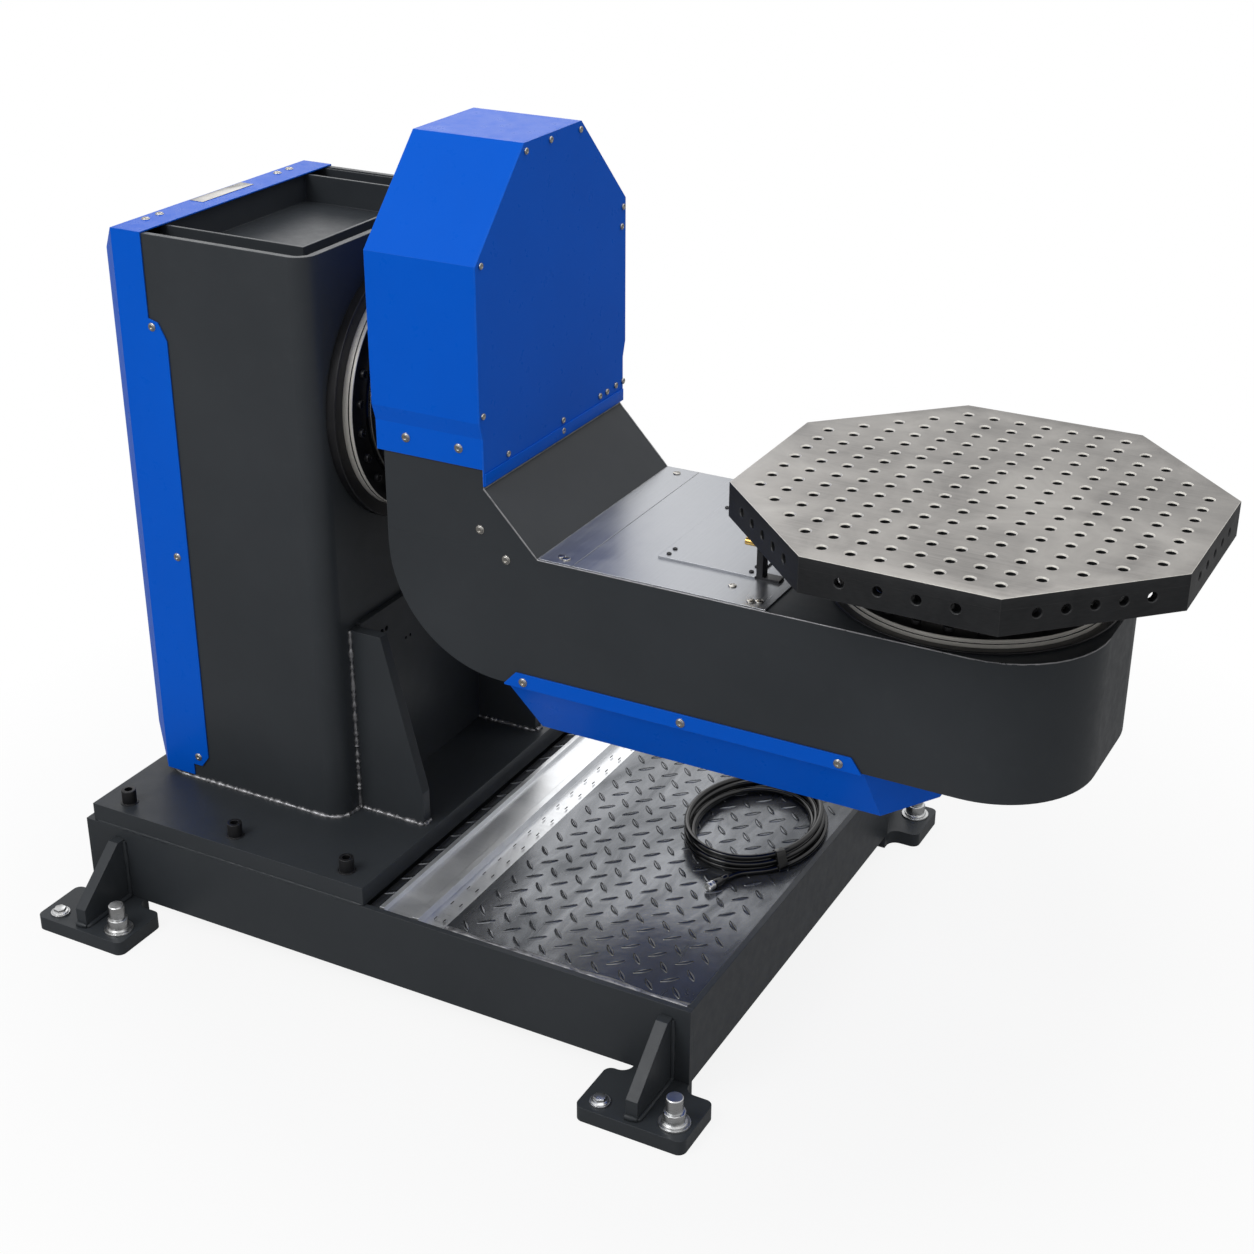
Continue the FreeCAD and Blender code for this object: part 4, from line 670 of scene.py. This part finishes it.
def makeTurntable():
    low, high = (Vector(c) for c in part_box("turntable"))
    centre = (low + high) / 2
    values = {"half": (high.x - low.x) / 2, "corner": 0.232, "top": 0.020, "rim": 0.016, "boss": 0.210,
              "bossBore": 0.060, "pitch": 0.050, "hole": 0.0085, "chamfer": 0.0024, "count": 7,
              "cornerStep": 10, "sidePitch": 0.065, "sideDrop": 0.032,
              "sideChamfer": 0.0014, "holeDepth": 0.030, "sides": 16,
              "edge": 0.0012, "ribHalf": 0.007, "ribLift": 0.006}
    half, cut = values["half"], values["half"] - values["corner"]

    def octagon(inset):
        a, b = half - inset, cut - inset * (math.sqrt(2) - 1)
        return [(centre.x + x, centre.y + y) for x, y in
                ((a, -b), (a, b), (b, a), (-b, a), (-a, b), (-a, -b), (-b, -a), (b, -a))]

    plate = prism(octagon(0), high.z - values["top"], high.z)
    topEdges = [e for e in plate.edges if min(v.co.z for v in e.verts) > high.z - 0.001]
    roundEdges(plate, topEdges, values["edge"])
    cutter = bmesh.new()
    reach, hole, edge, deep = (values[k] for k in ("count", "hole", "chamfer", "holeDepth"))
    for i in range(-reach, reach + 1):
        for j in range(-reach, reach + 1):
            if abs(i) + abs(j) > values["cornerStep"]:
                continue
            spot = (centre.x + i * values["pitch"], centre.y + j * values["pitch"], 0)
            addPart(cutter, lathe([(0, high.z - deep), (hole, high.z - deep), (hole, high.z - edge),
                                   (hole + edge, high.z), (hole + edge, high.z + 0.004), (0, high.z + 0.004)],
                                  spot, steps=values["sides"]))
    wall = prism(octagon(0), low.z, high.z - values["top"] + 0.0002)
    inner = prism(octagon(values["rim"]), low.z - 0.01, high.z - values["top"])
    sideCutter, edge = bmesh.new(), values["sideChamfer"]
    directions = [(math.cos(a), math.sin(a)) for a in (math.radians(45 * k) for k in range(8))]
    for k, (dx, dy) in enumerate(directions):
        outward = Vector((dx, dy, 0))
        tangent = Vector((-dy, dx, 0))
        distance = half if k % 2 == 0 else (half + cut) / math.sqrt(2)
        # four holes further apart on the two sides that face across the arm, five on the others
        gap, spread = (values["sidePitch"], 4) if k in (2, 6) else (values["pitch"], 5)
        for n in range(spread):
            spot = centre + outward * (distance - deep) + tangent * (n - (spread - 1) / 2) * gap
            spot.z = high.z - values["sideDrop"]
            addPart(sideCutter, lathe([(0, 0), (hole, 0), (hole, deep - edge), (hole + edge, deep),
                                       (hole + edge, 0.036), (0, 0.036)], spot, outward, values["sides"]))
    bm = bored("plateScratch", plate, [cutter])
    addPart(bm, bored("wallScratch", wall, [inner, sideCutter]))
    boss, depth = values["boss"], high.z - values["top"]
    addPart(bm, lathe([(values["bossBore"], low.z), (boss - 0.002, low.z), (boss, low.z + 0.002), (boss, depth),
                       (values["bossBore"], depth)], (centre.x, centre.y, 0)))
    for k in range(4):
        rib = block((boss - 0.004, -values["ribHalf"], low.z + values["ribLift"]),
                    (half - values["rim"] + 0.001, values["ribHalf"], depth))
        turn = Matrix.Translation((centre.x, centre.y, 0)) @ Matrix.Rotation(math.radians(90 * k), 4, "Z")
        bmesh.ops.transform(rib, matrix=turn, verts=rib.verts)
        addPart(bm, rib)
    # ground top, cut chamfers and dark sides each have their own finish; the light grey of the chamfers and the
    # bevelled top edge is partly bare cut steel and partly a painted highlight
    for face in bm.faces:
        isUp = face.normal.z > 0.5 and face.calc_center_median().z > high.z - 0.003
        face.material_index = (0 if face.normal.z > 0.95 else 2) if isUp else 1
    table = addPiece("turntablePlate", bm, metal["tableTop"], "table", ["turntable"], 28, metal["tableSide"])
    table.data.materials.append(metal["ringSteel"])


makeTurntable()
print("turntable bored")


# ---- slewing bearings: turned rings, seal, bolts and hub, the same on both axes
def makeBearing(prefix, place, axis, fixedBody, turnedBody, hubEnd, flange):
    values = {"race": 0.1904, "ring": 0.240, "width": 0.040, "groove": 0.0312, "boltCircle": 0.216,
              "bolts": 24, "boltRadius": 0.0085, "lipInner": 0.1845, "lipTop": 0.0483, "hubBore": 0.060,
              "hubRadius": 0.184, "hubNeck": 0.160, "hubStart": 0.048, "hubRim": 0.014, "steps": 128}
    race, ring, width, groove, steps = (values[k] for k in ("race", "ring", "width", "groove", "steps"))
    bm = lathe([(race, 0), (ring, 0), (ring, groove), (ring - 0.003, groove + 0.0005),
                (ring - 0.003, groove + 0.0025), (ring, groove + 0.003), (ring, width - 0.0014),
                (ring - 0.0014, width), (race + 0.001, width), (race, width - 0.001)], place, axis, steps)
    direction = Vector(axis)
    # the ring's end faces take black steel: painted shade on the same ground steel as its rim
    for face in bm.faces:
        face.material_index = 1 if abs(face.normal.dot(direction)) > 0.8 else 0
    addPiece(f"{prefix}RingOuter", bm, metal["ringSteel"], fixedBody, [f"{prefix}_bearing_outer_ring"], 30,
             blackSteel)
    lip, top = values["lipInner"], values["lipTop"]
    addPiece(f"{prefix}RaceLip", lathe([(lip, 0.0405), (race - 0.0001, 0.0405), (race - 0.0001, top - 0.0008),
                                        (race - 0.0009, top), (lip, top)], place, axis, steps),
             metal["ground"], turnedBody)
    addPiece(f"{prefix}Seal", lathe([(race - 0.0002, 0.0395), (race + 0.004, 0.0402), (race + 0.004, 0.0412),
                                     (race + 0.001, 0.0432), (race + 0.0001, 0.0432), (race + 0.0001, 0.0402)],
                                    place, axis, steps), rubber, fixedBody)
    # socket-head ring bolts
    bm = bmesh.new()
    across = direction.orthogonal().normalized()
    for i in range(values["bolts"]):
        turn = Matrix.Rotation(math.tau * (i + 0.5) / values["bolts"], 3, direction)
        spot = Vector(place) + direction * width + turn @ across * values["boltCircle"]
        addPart(bm, disc(values["boltRadius"], 0.0078, spot, axis, 14, 0.0008, 0.0046, 0.004))
    addPiece(f"{prefix}RingBolts", bm, blackSteel, fixedBody, [f"{prefix}_ring_bolts"])
    bore, big, neck, start, rim = (values[k] for k in ("hubBore", "hubRadius", "hubNeck", "hubStart", "hubRim"))
    slant = big - neck
    addPiece(f"{prefix}HubSpool", lathe(
        [(bore, start), (big - 0.001, start), (big, start + 0.001), (big, start + rim),
         (neck, start + rim + slant), (neck, hubEnd - rim - slant),
         (big, hubEnd - rim), (big, hubEnd - 0.001), (big - 0.001, hubEnd),
         (bore, hubEnd)], place, axis, 112), blackSteel, turnedBody, [f"{prefix}_hub"], 34)
    outer, thick, lift = flange
    addPiece(f"{prefix}FlangePlate", lathe(
        [(ring + 0.0005, lift), (outer - 0.0012, lift), (outer, lift + 0.0012), (outer, lift + thick - 0.0015),
         (outer - 0.0015, lift + thick), (ring + 0.0013, lift + thick), (ring + 0.0005, lift + thick - 0.001)],
        place, axis, steps), blackSteel, fixedBody, [f"{prefix}_flange"])


columnLow, columnHigh = (Vector(c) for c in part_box("column_tube"))
armHigh = Vector(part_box("arm_shell")[1])
tableLow, tableHigh = (Vector(c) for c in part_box("turntable"))
tiltPlace = (columnHigh.x, 0, tableHigh.z)
seatPlace = ((tableLow.x + tableHigh.x) / 2, 0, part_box("turntable_bearing_outer_ring")[0][2])
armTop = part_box("arm_rear_top_plate")[0][2]
makeBearing("tilt", tiltPlace, (1, 0, 0), "base", "arm", 0.123, (0.266, 0.020, 0.0))
makeBearing("turntable", seatPlace, (0, 0, 1), "arm", "table", 0.141, (0.257, 0.005, 0.020))
print("bearings turned")


# ---- deck: raised tread, rough welded edge and the duct's slots
def makeDeck():
    values = {"stepX": 0.056, "stepY": 0.060, "length": 0.0195, "width": 0.0056, "rise": 0.0017,
              "pinch": 0.35, "lowStep": 0.0012, "topStep": 0.0018, "skirt": 0.0012, "lean": 45, "wobble": 0.03}
    low, high = (Vector(c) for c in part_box("deck_plate"))
    seed = bmesh.new()
    bmesh.ops.create_circle(seed, cap_ends=True, segments=14, radius=1)
    for vert in seed.verts:
        pinch = 1 - values["pinch"] * abs(vert.co.x) ** 2
        vert.co = Vector((vert.co.x * values["length"], vert.co.y * values["width"] * pinch, 0))
    base = seed.faces[:][0]
    bmesh.ops.inset_individual(seed, faces=[base], thickness=values["lowStep"])
    bmesh.ops.translate(seed, vec=(0, 0, values["rise"] * 0.7), verts=base.verts)
    bmesh.ops.inset_individual(seed, faces=[base], thickness=values["topStep"])
    bmesh.ops.translate(seed, vec=(0, 0, values["rise"] * 0.3), verts=base.verts)
    rim = [vert for vert in seed.verts if vert.co.z < 1e-6]
    rimEdges = [e for e in seed.edges if all(v in rim for v in e.verts)]
    bottom = bmesh.ops.extrude_edge_only(seed, edges=rimEdges)
    lower = [g for g in bottom["geom"] if isinstance(g, bmesh.types.BMVert)]
    bmesh.ops.translate(seed, vec=(0, 0, -values["skirt"]), verts=lower)
    bmesh.ops.contextual_create(seed, geom=lower)
    lens = bpy.data.meshes.new("lensScratch")
    seed.to_mesh(lens)
    seed.free()

    def treadOver(name, nodeName, phase, margin):
        low, high = (Vector(c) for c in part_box(nodeName))
        bm = bmesh.new()
        columns = int((high.x - low.x) / values["stepX"] * 2) + 2
        rows = int((high.y - low.y) / values["stepY"] * 2) + 2
        for i in range(columns):
            for j in range(rows):
                if (i + j) % 2:
                    continue
                x, y = low.x + phase + i * values["stepX"] / 2, low.y + 0.008 + j * values["stepY"] / 2
                if not (low.x + margin < x < high.x - margin and low.y + margin < y < high.y - margin):
                    continue
                before = len(bm.verts)
                bm.from_mesh(lens)
                bm.verts.ensure_lookup_table()
                lean = math.radians(values["lean"] if j % 2 == 0 else -values["lean"])
                lean += random.uniform(-values["wobble"], values["wobble"])
                turn = Matrix.Translation((x, y, high.z)) @ Matrix.Rotation(lean, 4, "Z")
                bmesh.ops.transform(bm, matrix=turn, verts=bm.verts[before:])
        addPiece(name, bm, chequer, "base", smoothAngle=50)

    treadOver("deckTread", "deck_plate", 0.004, 0.013)
    treadOver("stripTread", "deck_strip", 0.0125, 0.011)
    bpy.data.meshes.remove(lens)

    # lumpy weld run along the near and far edges of the deck
    run = {"segments": 150, "strips": 7, "width": 0.017, "inset": 0.004, "end": 0.003, "crown": 0.0018,
           "lump": 0.0032}
    for label, way, y in (("Near", 1, low.y + run["inset"]), ("Far", -1, high.y - run["inset"])):
        bm = bmesh.new()
        bmesh.ops.create_grid(bm, x_segments=run["segments"], y_segments=run["strips"], size=0.5)
        lengthX = high.x - low.x - 2 * run["end"]
        for vert in bm.verts:
            along, across = vert.co.x + 0.5, vert.co.y + 0.5
            crown = math.sin(math.pi * across)
            ripple = math.sin(along * 61 + 2 * math.sin(along * 23)) * math.cos(across * 5 + along * 37)
            lump = 0.5 + 0.5 * ripple
            wander = 0.003 * math.sin(along * 19 + across)
            vert.co = Vector((low.x + run["end"] + along * lengthX,
                              y + (across - 0.5) * run["width"] * way + (0.0075 + wander * across) * way,
                              high.z + 0.0004 + crown * (run["crown"] + run["lump"] * lump)))
        skin = bmesh.ops.extrude_edge_only(bm, edges=[e for e in bm.edges if e.is_boundary])
        lower = [g for g in skin["geom"] if isinstance(g, bmesh.types.BMVert)]
        for vert in lower:
            vert.co.z = high.z - 0.0008
        bmesh.ops.contextual_create(bm, geom=lower)
        addPiece(f"deckWeld{label}", bm, metal["weldBead"], "base", smoothAngle=70)

    # two rows of short slots along the duct, drawn as thin black bars of painted shade laid on it: each row's
    # distance from the edge and half width
    slotShades = {"count": 16, "pitch": 0.0588, "start": 0.03, "length": 0.011,
             "rows": ((0.010, 0.0009), (0.030, 0.0007))}
    ductLow, ductHigh = (Vector(c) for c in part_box("cable_duct"))
    bm = bmesh.new()
    for k in range(slotShades["count"]):
        for fromEdge, wide in slotShades["rows"]:
            x, y = ductHigh.x - fromEdge, ductLow.y + slotShades["start"] + slotShades["pitch"] * k
            addPart(bm, block((x - wide, y + 20 * wide * x, ductLow.z + 0.0062),
                              (x + wide, y + 20 * wide * x + slotShades["length"], ductLow.z + 0.0074)))
    addPiece("ductSlotShade", bm, blackSteel, "base")


makeDeck()
print("deck dressed")


# ---- feet: hexagon anchors, twelve-sided levelling nuts and plain studs, on washers
def makeFeet():
    values = {"anchorRadius": 0.0128, "nutRadius": 0.0208, "nutHeight": 0.0238, "studRadius": 0.0159}
    places = {}
    for kind, nodeName, reach in (("anchor", "anchor_bolts", (0.0130, 0.0113)),
                                  ("stud", "levelling_studs", (0.016, 0.016))):
        low, high = (Vector(c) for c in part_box(nodeName))
        places[kind] = [(x, y) for x in (low.x + reach[0], high.x - reach[0])
                        for y in (low.y + reach[1], high.y - reach[1])]
    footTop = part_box("foot_plates")[1][2]
    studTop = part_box("levelling_studs")[1][2]
    anchors, nuts, studs, washers, small = (bmesh.new() for _ in range(5))
    for x, y in places["anchor"]:
        addPart(small, lathe([(0.0108, footTop), (0.0196, footTop), (0.0198, footTop + 0.0006),
                              (0.0192, footTop + 0.004), (0.0108, footTop + 0.004)], (x, y, 0), steps=40))
        addPart(anchors, lathe([(0, footTop + 0.004), (0.0166, footTop + 0.004), (0.0168, footTop + 0.0050),
                                (0.0130, footTop + 0.0070), (0, footTop + 0.0070)], (x, y, 0), steps=40))
        head = disc(values["anchorRadius"], 0.0060, (x, y, footTop + 0.0068), (0, 0, 1), 6, 0.0016)
        bmesh.ops.rotate(head, cent=(x, y, 0), matrix=Matrix.Rotation(0.35 + 3 * x, 3, "Z"), verts=head.verts)
        addPart(anchors, head)
    for x, y in places["stud"]:
        addPart(washers, lathe([(0.0162, footTop), (0.0294, footTop), (0.0298, footTop + 0.0006),
                                (0.0292, footTop + 0.004), (0.0162, footTop + 0.004)], (x, y, 0), steps=48))
        low = footTop + 0.004
        nut = disc(values["nutRadius"], values["nutHeight"], (x, y, low), (0, 0, 1), 12, 0.0018)
        bmesh.ops.rotate(nut, cent=(x, y, 0), matrix=Matrix.Rotation(0.2 + 2 * x, 3, "Z"), verts=nut.verts)
        addPart(nuts, nut)
        addPart(nuts, lathe([(0.0162, low), (0.0232, low), (0.0235, low + 0.0012), (0.0220, low + 0.0030),
                             (0.0162, low + 0.0030)], (x, y, 0), steps=40))
        radius, start = values["studRadius"], low + values["nutHeight"] - 0.002
        profile = [(0, start), (radius - 0.0008, start), (radius - 0.0008, start + 0.004),
                   (radius, start + 0.005), (radius, studTop - 0.0016), (radius - 0.0016, studTop),
                   (0, studTop)]
        addPart(studs, lathe(profile, (x, y, 0), steps=40))
    addPiece("anchorHexBolts", anchors, metal["zinc"], "base", ["anchor_bolts"])
    addPiece("anchorFlatWashers", small, metal["zinc"], "base", ["anchor_washers"])
    addPiece("levellingSleeveNuts", nuts, metal["zinc"], "base", ["levelling_nuts"])
    addPiece("levellingWideWashers", washers, metal["zinc"], "base", ["levelling_washers"])
    addPiece("levellingStuds", studs, metal["zinc"], "base", ["levelling_studs"])


makeFeet()
print("feet bolted")


# ---- column: base plate screws, weld beads, cover screws and the bracket on the rim
def makeColumnDetails():
    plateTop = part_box("column_base_plate")[1][2]
    screwLow, screwHigh = (Vector(c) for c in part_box("column_plate_screws"))
    values = {"inset": 0.015, "screwRadius": 0.0149, "screwHeight": 0.0298, "screwRound": 0.0016,
              "socket": 0.0082, "socketDepth": 0.012, "gussetThick": 0.024, "corner": 0.040}
    inset = values["inset"]
    bm = bmesh.new()
    for x in (screwLow.x + inset, (screwLow.x + screwHigh.x) / 2, screwHigh.x - inset):
        for y in (screwLow.y + inset, screwHigh.y - inset):
            addPart(bm, disc(values["screwRadius"], values["screwHeight"], (x, y, plateTop), (0, 0, 1), 40,
                             values["screwRound"], values["socket"], values["socketDepth"]))
            addPart(bm, lathe([(0.0150, plateTop), (0.0185, plateTop), (0.0185, plateTop + 0.0012),
                               (0.0180, plateTop + 0.0016), (0.0150, plateTop + 0.0016)], (x, y, 0), steps=40))
    addPiece("columnSocketScrews", bm, blackSteel, "base", ["column_plate_screws"])

    gussetHigh = Vector(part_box("column_gussets")[1])
    thick, corner = values["gussetThick"], values["corner"]
    lift = plateTop + 0.001
    ring = []
    for cx, cy, start in ((columnHigh.x - corner, columnHigh.y - corner, 0),
                          (columnLow.x + corner, columnHigh.y - corner, 90),
                          (columnLow.x + corner, columnLow.y + corner, 180),
                          (columnHigh.x - corner, columnLow.y + corner, 270)):
        for step in range(5):
            angle, away = math.radians(start + step * 22.5), corner + 0.001
            ring.append((cx + away * math.cos(angle), cy + away * math.sin(angle), lift))
    paths = [ring + ring[:1]]
    for side in (-1, 1):
        for face in (-1, 1):
            y = side * (gussetHigh.y - thick / 2) + face * (thick / 2 + 0.001)
            paths.append([(columnHigh.x + 0.004, y, lift), (gussetHigh.x, y, lift)])
            paths.append([(columnHigh.x + 0.001, y, plateTop + 0.004), (columnHigh.x + 0.001, y, gussetHigh.z)])
        y = side * (gussetHigh.y - thick / 2)
        paths.append([(gussetHigh.x + 0.001, y - 0.012, lift), (gussetHigh.x + 0.001, y + 0.012, lift)])
    beadSet("columnWelds", paths, 0.0052, "base", metal["weldBead"], 0.42, 0.0045)

    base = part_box("base_side_plates")
    skirtTop, wall = base[1][2], base[1][1]
    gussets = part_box("foot_gussets")
    paths = []
    for x in (gussets[0][0] + 0.012, gussets[1][0] - 0.012):
        for side in (-1, 1):
            foot, toe = side * (wall + 0.002), side * gussets[1][1]
            for spot in (x - 0.013, x + 0.013):
                paths.append([(spot, foot, 0.032), (spot, toe, 0.032)])
                paths.append([(spot, foot, 0.034), (spot, foot, gussets[1][2] - 0.004)])
            paths.append([(x - 0.012, toe + side * 0.001, 0.034), (x + 0.012, toe + side * 0.001, 0.034)])
    beadSet("footWelds", paths, 0.0058, "base", graphite, 0.2, 0.011)
    low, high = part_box("column_base_plate")
    paths = [[(low[0] + 0.01, side * (high[1] - 0.001), skirtTop + 0.0008),
              (high[0] - 0.004, side * (high[1] - 0.001), skirtTop + 0.0008)] for side in (-1, 1)]
    beadSet("baseWelds", paths, 0.0036, "base", graphite, 0.3, 0.006)

    # rear cover: side flange screws, top strip screws and a bare plate between them
    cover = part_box("column_rear_cover")
    sideSpots = ((-0.885, 1.212), (-0.880, 0.739), (-0.878, 0.284))
    look = {"radius": 0.0068, "height": 0.0034, "round": 0.0012, "socket": 0.003, "washer": 0.0085}
    for label, side in (("Near", -1), ("Far", 1)):
        screwSet(f"coverSideScrews{label}", [(x, side * cover[1][1], z) for x, z in sideSpots],
                 (0, side, 0), "base", look)
    top = cover[1][2]
    spots = [(columnLow.x + 0.020, y, top) for y in (-0.225, -0.185, 0.185, 0.225)]
    screwSet("coverTopScrews", spots, (0, 0, 1), "base", look)
    addPiece("coverGapPlate", block((columnLow.x + 0.004, -0.075, top),
                                    (columnLow.x + 0.036, 0.085, top + 0.0012), 0.0004),
             metal["ground"], "base")
    # bracket on the rim: its outline back from the column's front face, its top and two screws
    outline = ((0.046, 0.148), (0.016, 0.140), (0.010, 0.150), (0.010, 0.204), (0.018, 0.212), (0.046, 0.206))
    bracketTop = columnHigh.z + 0.004
    addPiece("rimBracket", prism([(columnHigh.x - back, y) for back, y in outline], columnHigh.z - 0.002,
                                 bracketTop, 0.001), graphite, "base")
    screwSet("rimBracketScrews", [(columnHigh.x - 0.028, y, bracketTop) for y in (0.160, 0.194)],
             (0, 0, 1), "base", {"radius": 0.0052, "height": 0.003, "round": 0.001, "socket": 0.0024})


makeColumnDetails()
print("column dressed")


# ---- arm: screws, edge beads, top plate fixings and access plate hardware
def makeArmDetails():
    values = {"sideScrews": ((-0.1965, 0.923), (-0.1425, 0.874)), "coverScrews": (-0.1105, 0.2175, 0.5235),
              "coverHeight": 0.632, "bandScrews": (-0.348, -0.235), "bandHeight": 1.075, "bandInset": 0.010,
              "neck": -0.1875, "foot": -0.0775, "slopeRise": 0.117, "noseRadius": 0.182,
              "fixings": ((-0.0425, -0.230), (-0.0425, 0.230), (-0.030, -0.236), (0.2815, -0.196),
                          (0.3365, -0.238), (0.350, -0.232), (0.2815, 0.196), (0.3365, 0.238))}
    look = {"radius": 0.0072, "height": 0.0036, "round": 0.0013, "socket": 0.0032, "washer": 0.009}
    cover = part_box("arm_bottom_cover")
    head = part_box("head_cover")
    for label, side in (("Near", -1), ("Far", 1)):
        screwSet(f"armSideScrews{label}", [(x, side * armHigh.y, z) for x, z in values["sideScrews"]],
                 (0, side, 0), "arm", look)
        screwSet(f"bottomCoverScrews{label}",
                 [(x, side * cover[1][1], values["coverHeight"]) for x in values["coverScrews"]],
                 (0, side, 0), "arm", look)
        bandY = side * (head[1][1] - values["bandInset"])
        screwSet(f"headBandScrews{label}", [(x, bandY, values["bandHeight"]) for x in values["bandScrews"]],
                 (0, side, 0), "arm", look)
    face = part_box("head_face_panel")[1][0]
    spots = [(-0.011, 1.583), (0.097, 1.580), (-0.097, 1.580), (0.262, 1.401), (0.256, 1.364), (-0.256, 1.415),
             (-0.262, 1.144), (-0.180, 1.046), (0.022, 1.045), (0.022, 1.024), (0.167, 1.048), (0.196, 1.048),
             (0.232, 1.050), (0.262, 1.050)]
    screwSet("facePanelScrews", [(face, y, z) for y, z in spots], (1, 0, 0), "arm",
             {"radius": 0.0062, "height": 0.0032, "round": 0.0012, "socket": 0.0028})
    addPiece("facePanelHem", block((face - 0.0005, -0.262, 1.0105), (face + 0.0024, 0.262, 1.0345), 0.0008),
             bluePaint, "arm")

    # welded and ground edges of the arm's box
    y, neck, foot = armHigh.y - 0.0012, values["neck"], values["foot"]
    slopeTop = armTop + values["slopeRise"]
    nose, radius = armHigh.x, values["noseRadius"]
    paths = []
    for side in (-1, 1):
        arc = [(nose - radius + radius * math.sin(math.radians(a)),
                side * (y - radius + radius * math.cos(math.radians(a))), armTop) for a in range(0, 91, 9)]
        paths.append([(foot, side * y, armTop)] + arc)
        paths.append([(neck, side * y, slopeTop), (foot, side * y, armTop)])
        paths.append([(neck, side * y, armHigh.z - 0.2), (neck, side * y, slopeTop)])
    paths.append([(neck, -y, slopeTop), (neck, y, slopeTop)])
    paths.append([(foot, -y, armTop + 0.001), (foot, y, armTop + 0.001)])
    beadSet("armEdgeBeads", paths, 0.0016, "arm", metal["weldBead"], 0.12, 0.012)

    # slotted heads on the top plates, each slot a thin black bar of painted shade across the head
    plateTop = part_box("arm_rear_top_plate")[1][2]
    heads, slotShades = bmesh.new(), bmesh.new()
    for x, y in values["fixings"]:
        addPart(heads, disc(0.0075, 0.0022, (x, y, plateTop), (0, 0, 1), 18, 0.0006))
        addPart(slotShades, block((x - 0.0058, y - 0.0008, plateTop + 0.0017),
                             (x + 0.0058, y + 0.0008, plateTop + 0.00235)))
    addPiece("topPlateFixings", heads, metal["stainless"], "arm")
    addPiece("topPlateSlotShade", slotShades, blackSteel, "arm")
    low, high = (Vector(c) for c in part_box("arm_access_plate"))
    spots = [(x, y, high.z) for x in (low.x + 0.014, high.x - 0.014)
             for y in (low.y + 0.016, low.y + 0.040, high.y - 0.016, high.y - 0.040)]
    screwSet("accessPlateScrews", spots, (0, 0, 1), "arm",
             {"radius": 0.0046, "height": 0.0024, "round": 0.0008, "socket": 0.0022}, blackSteel)


makeArmDetails()
print("arm dressed")
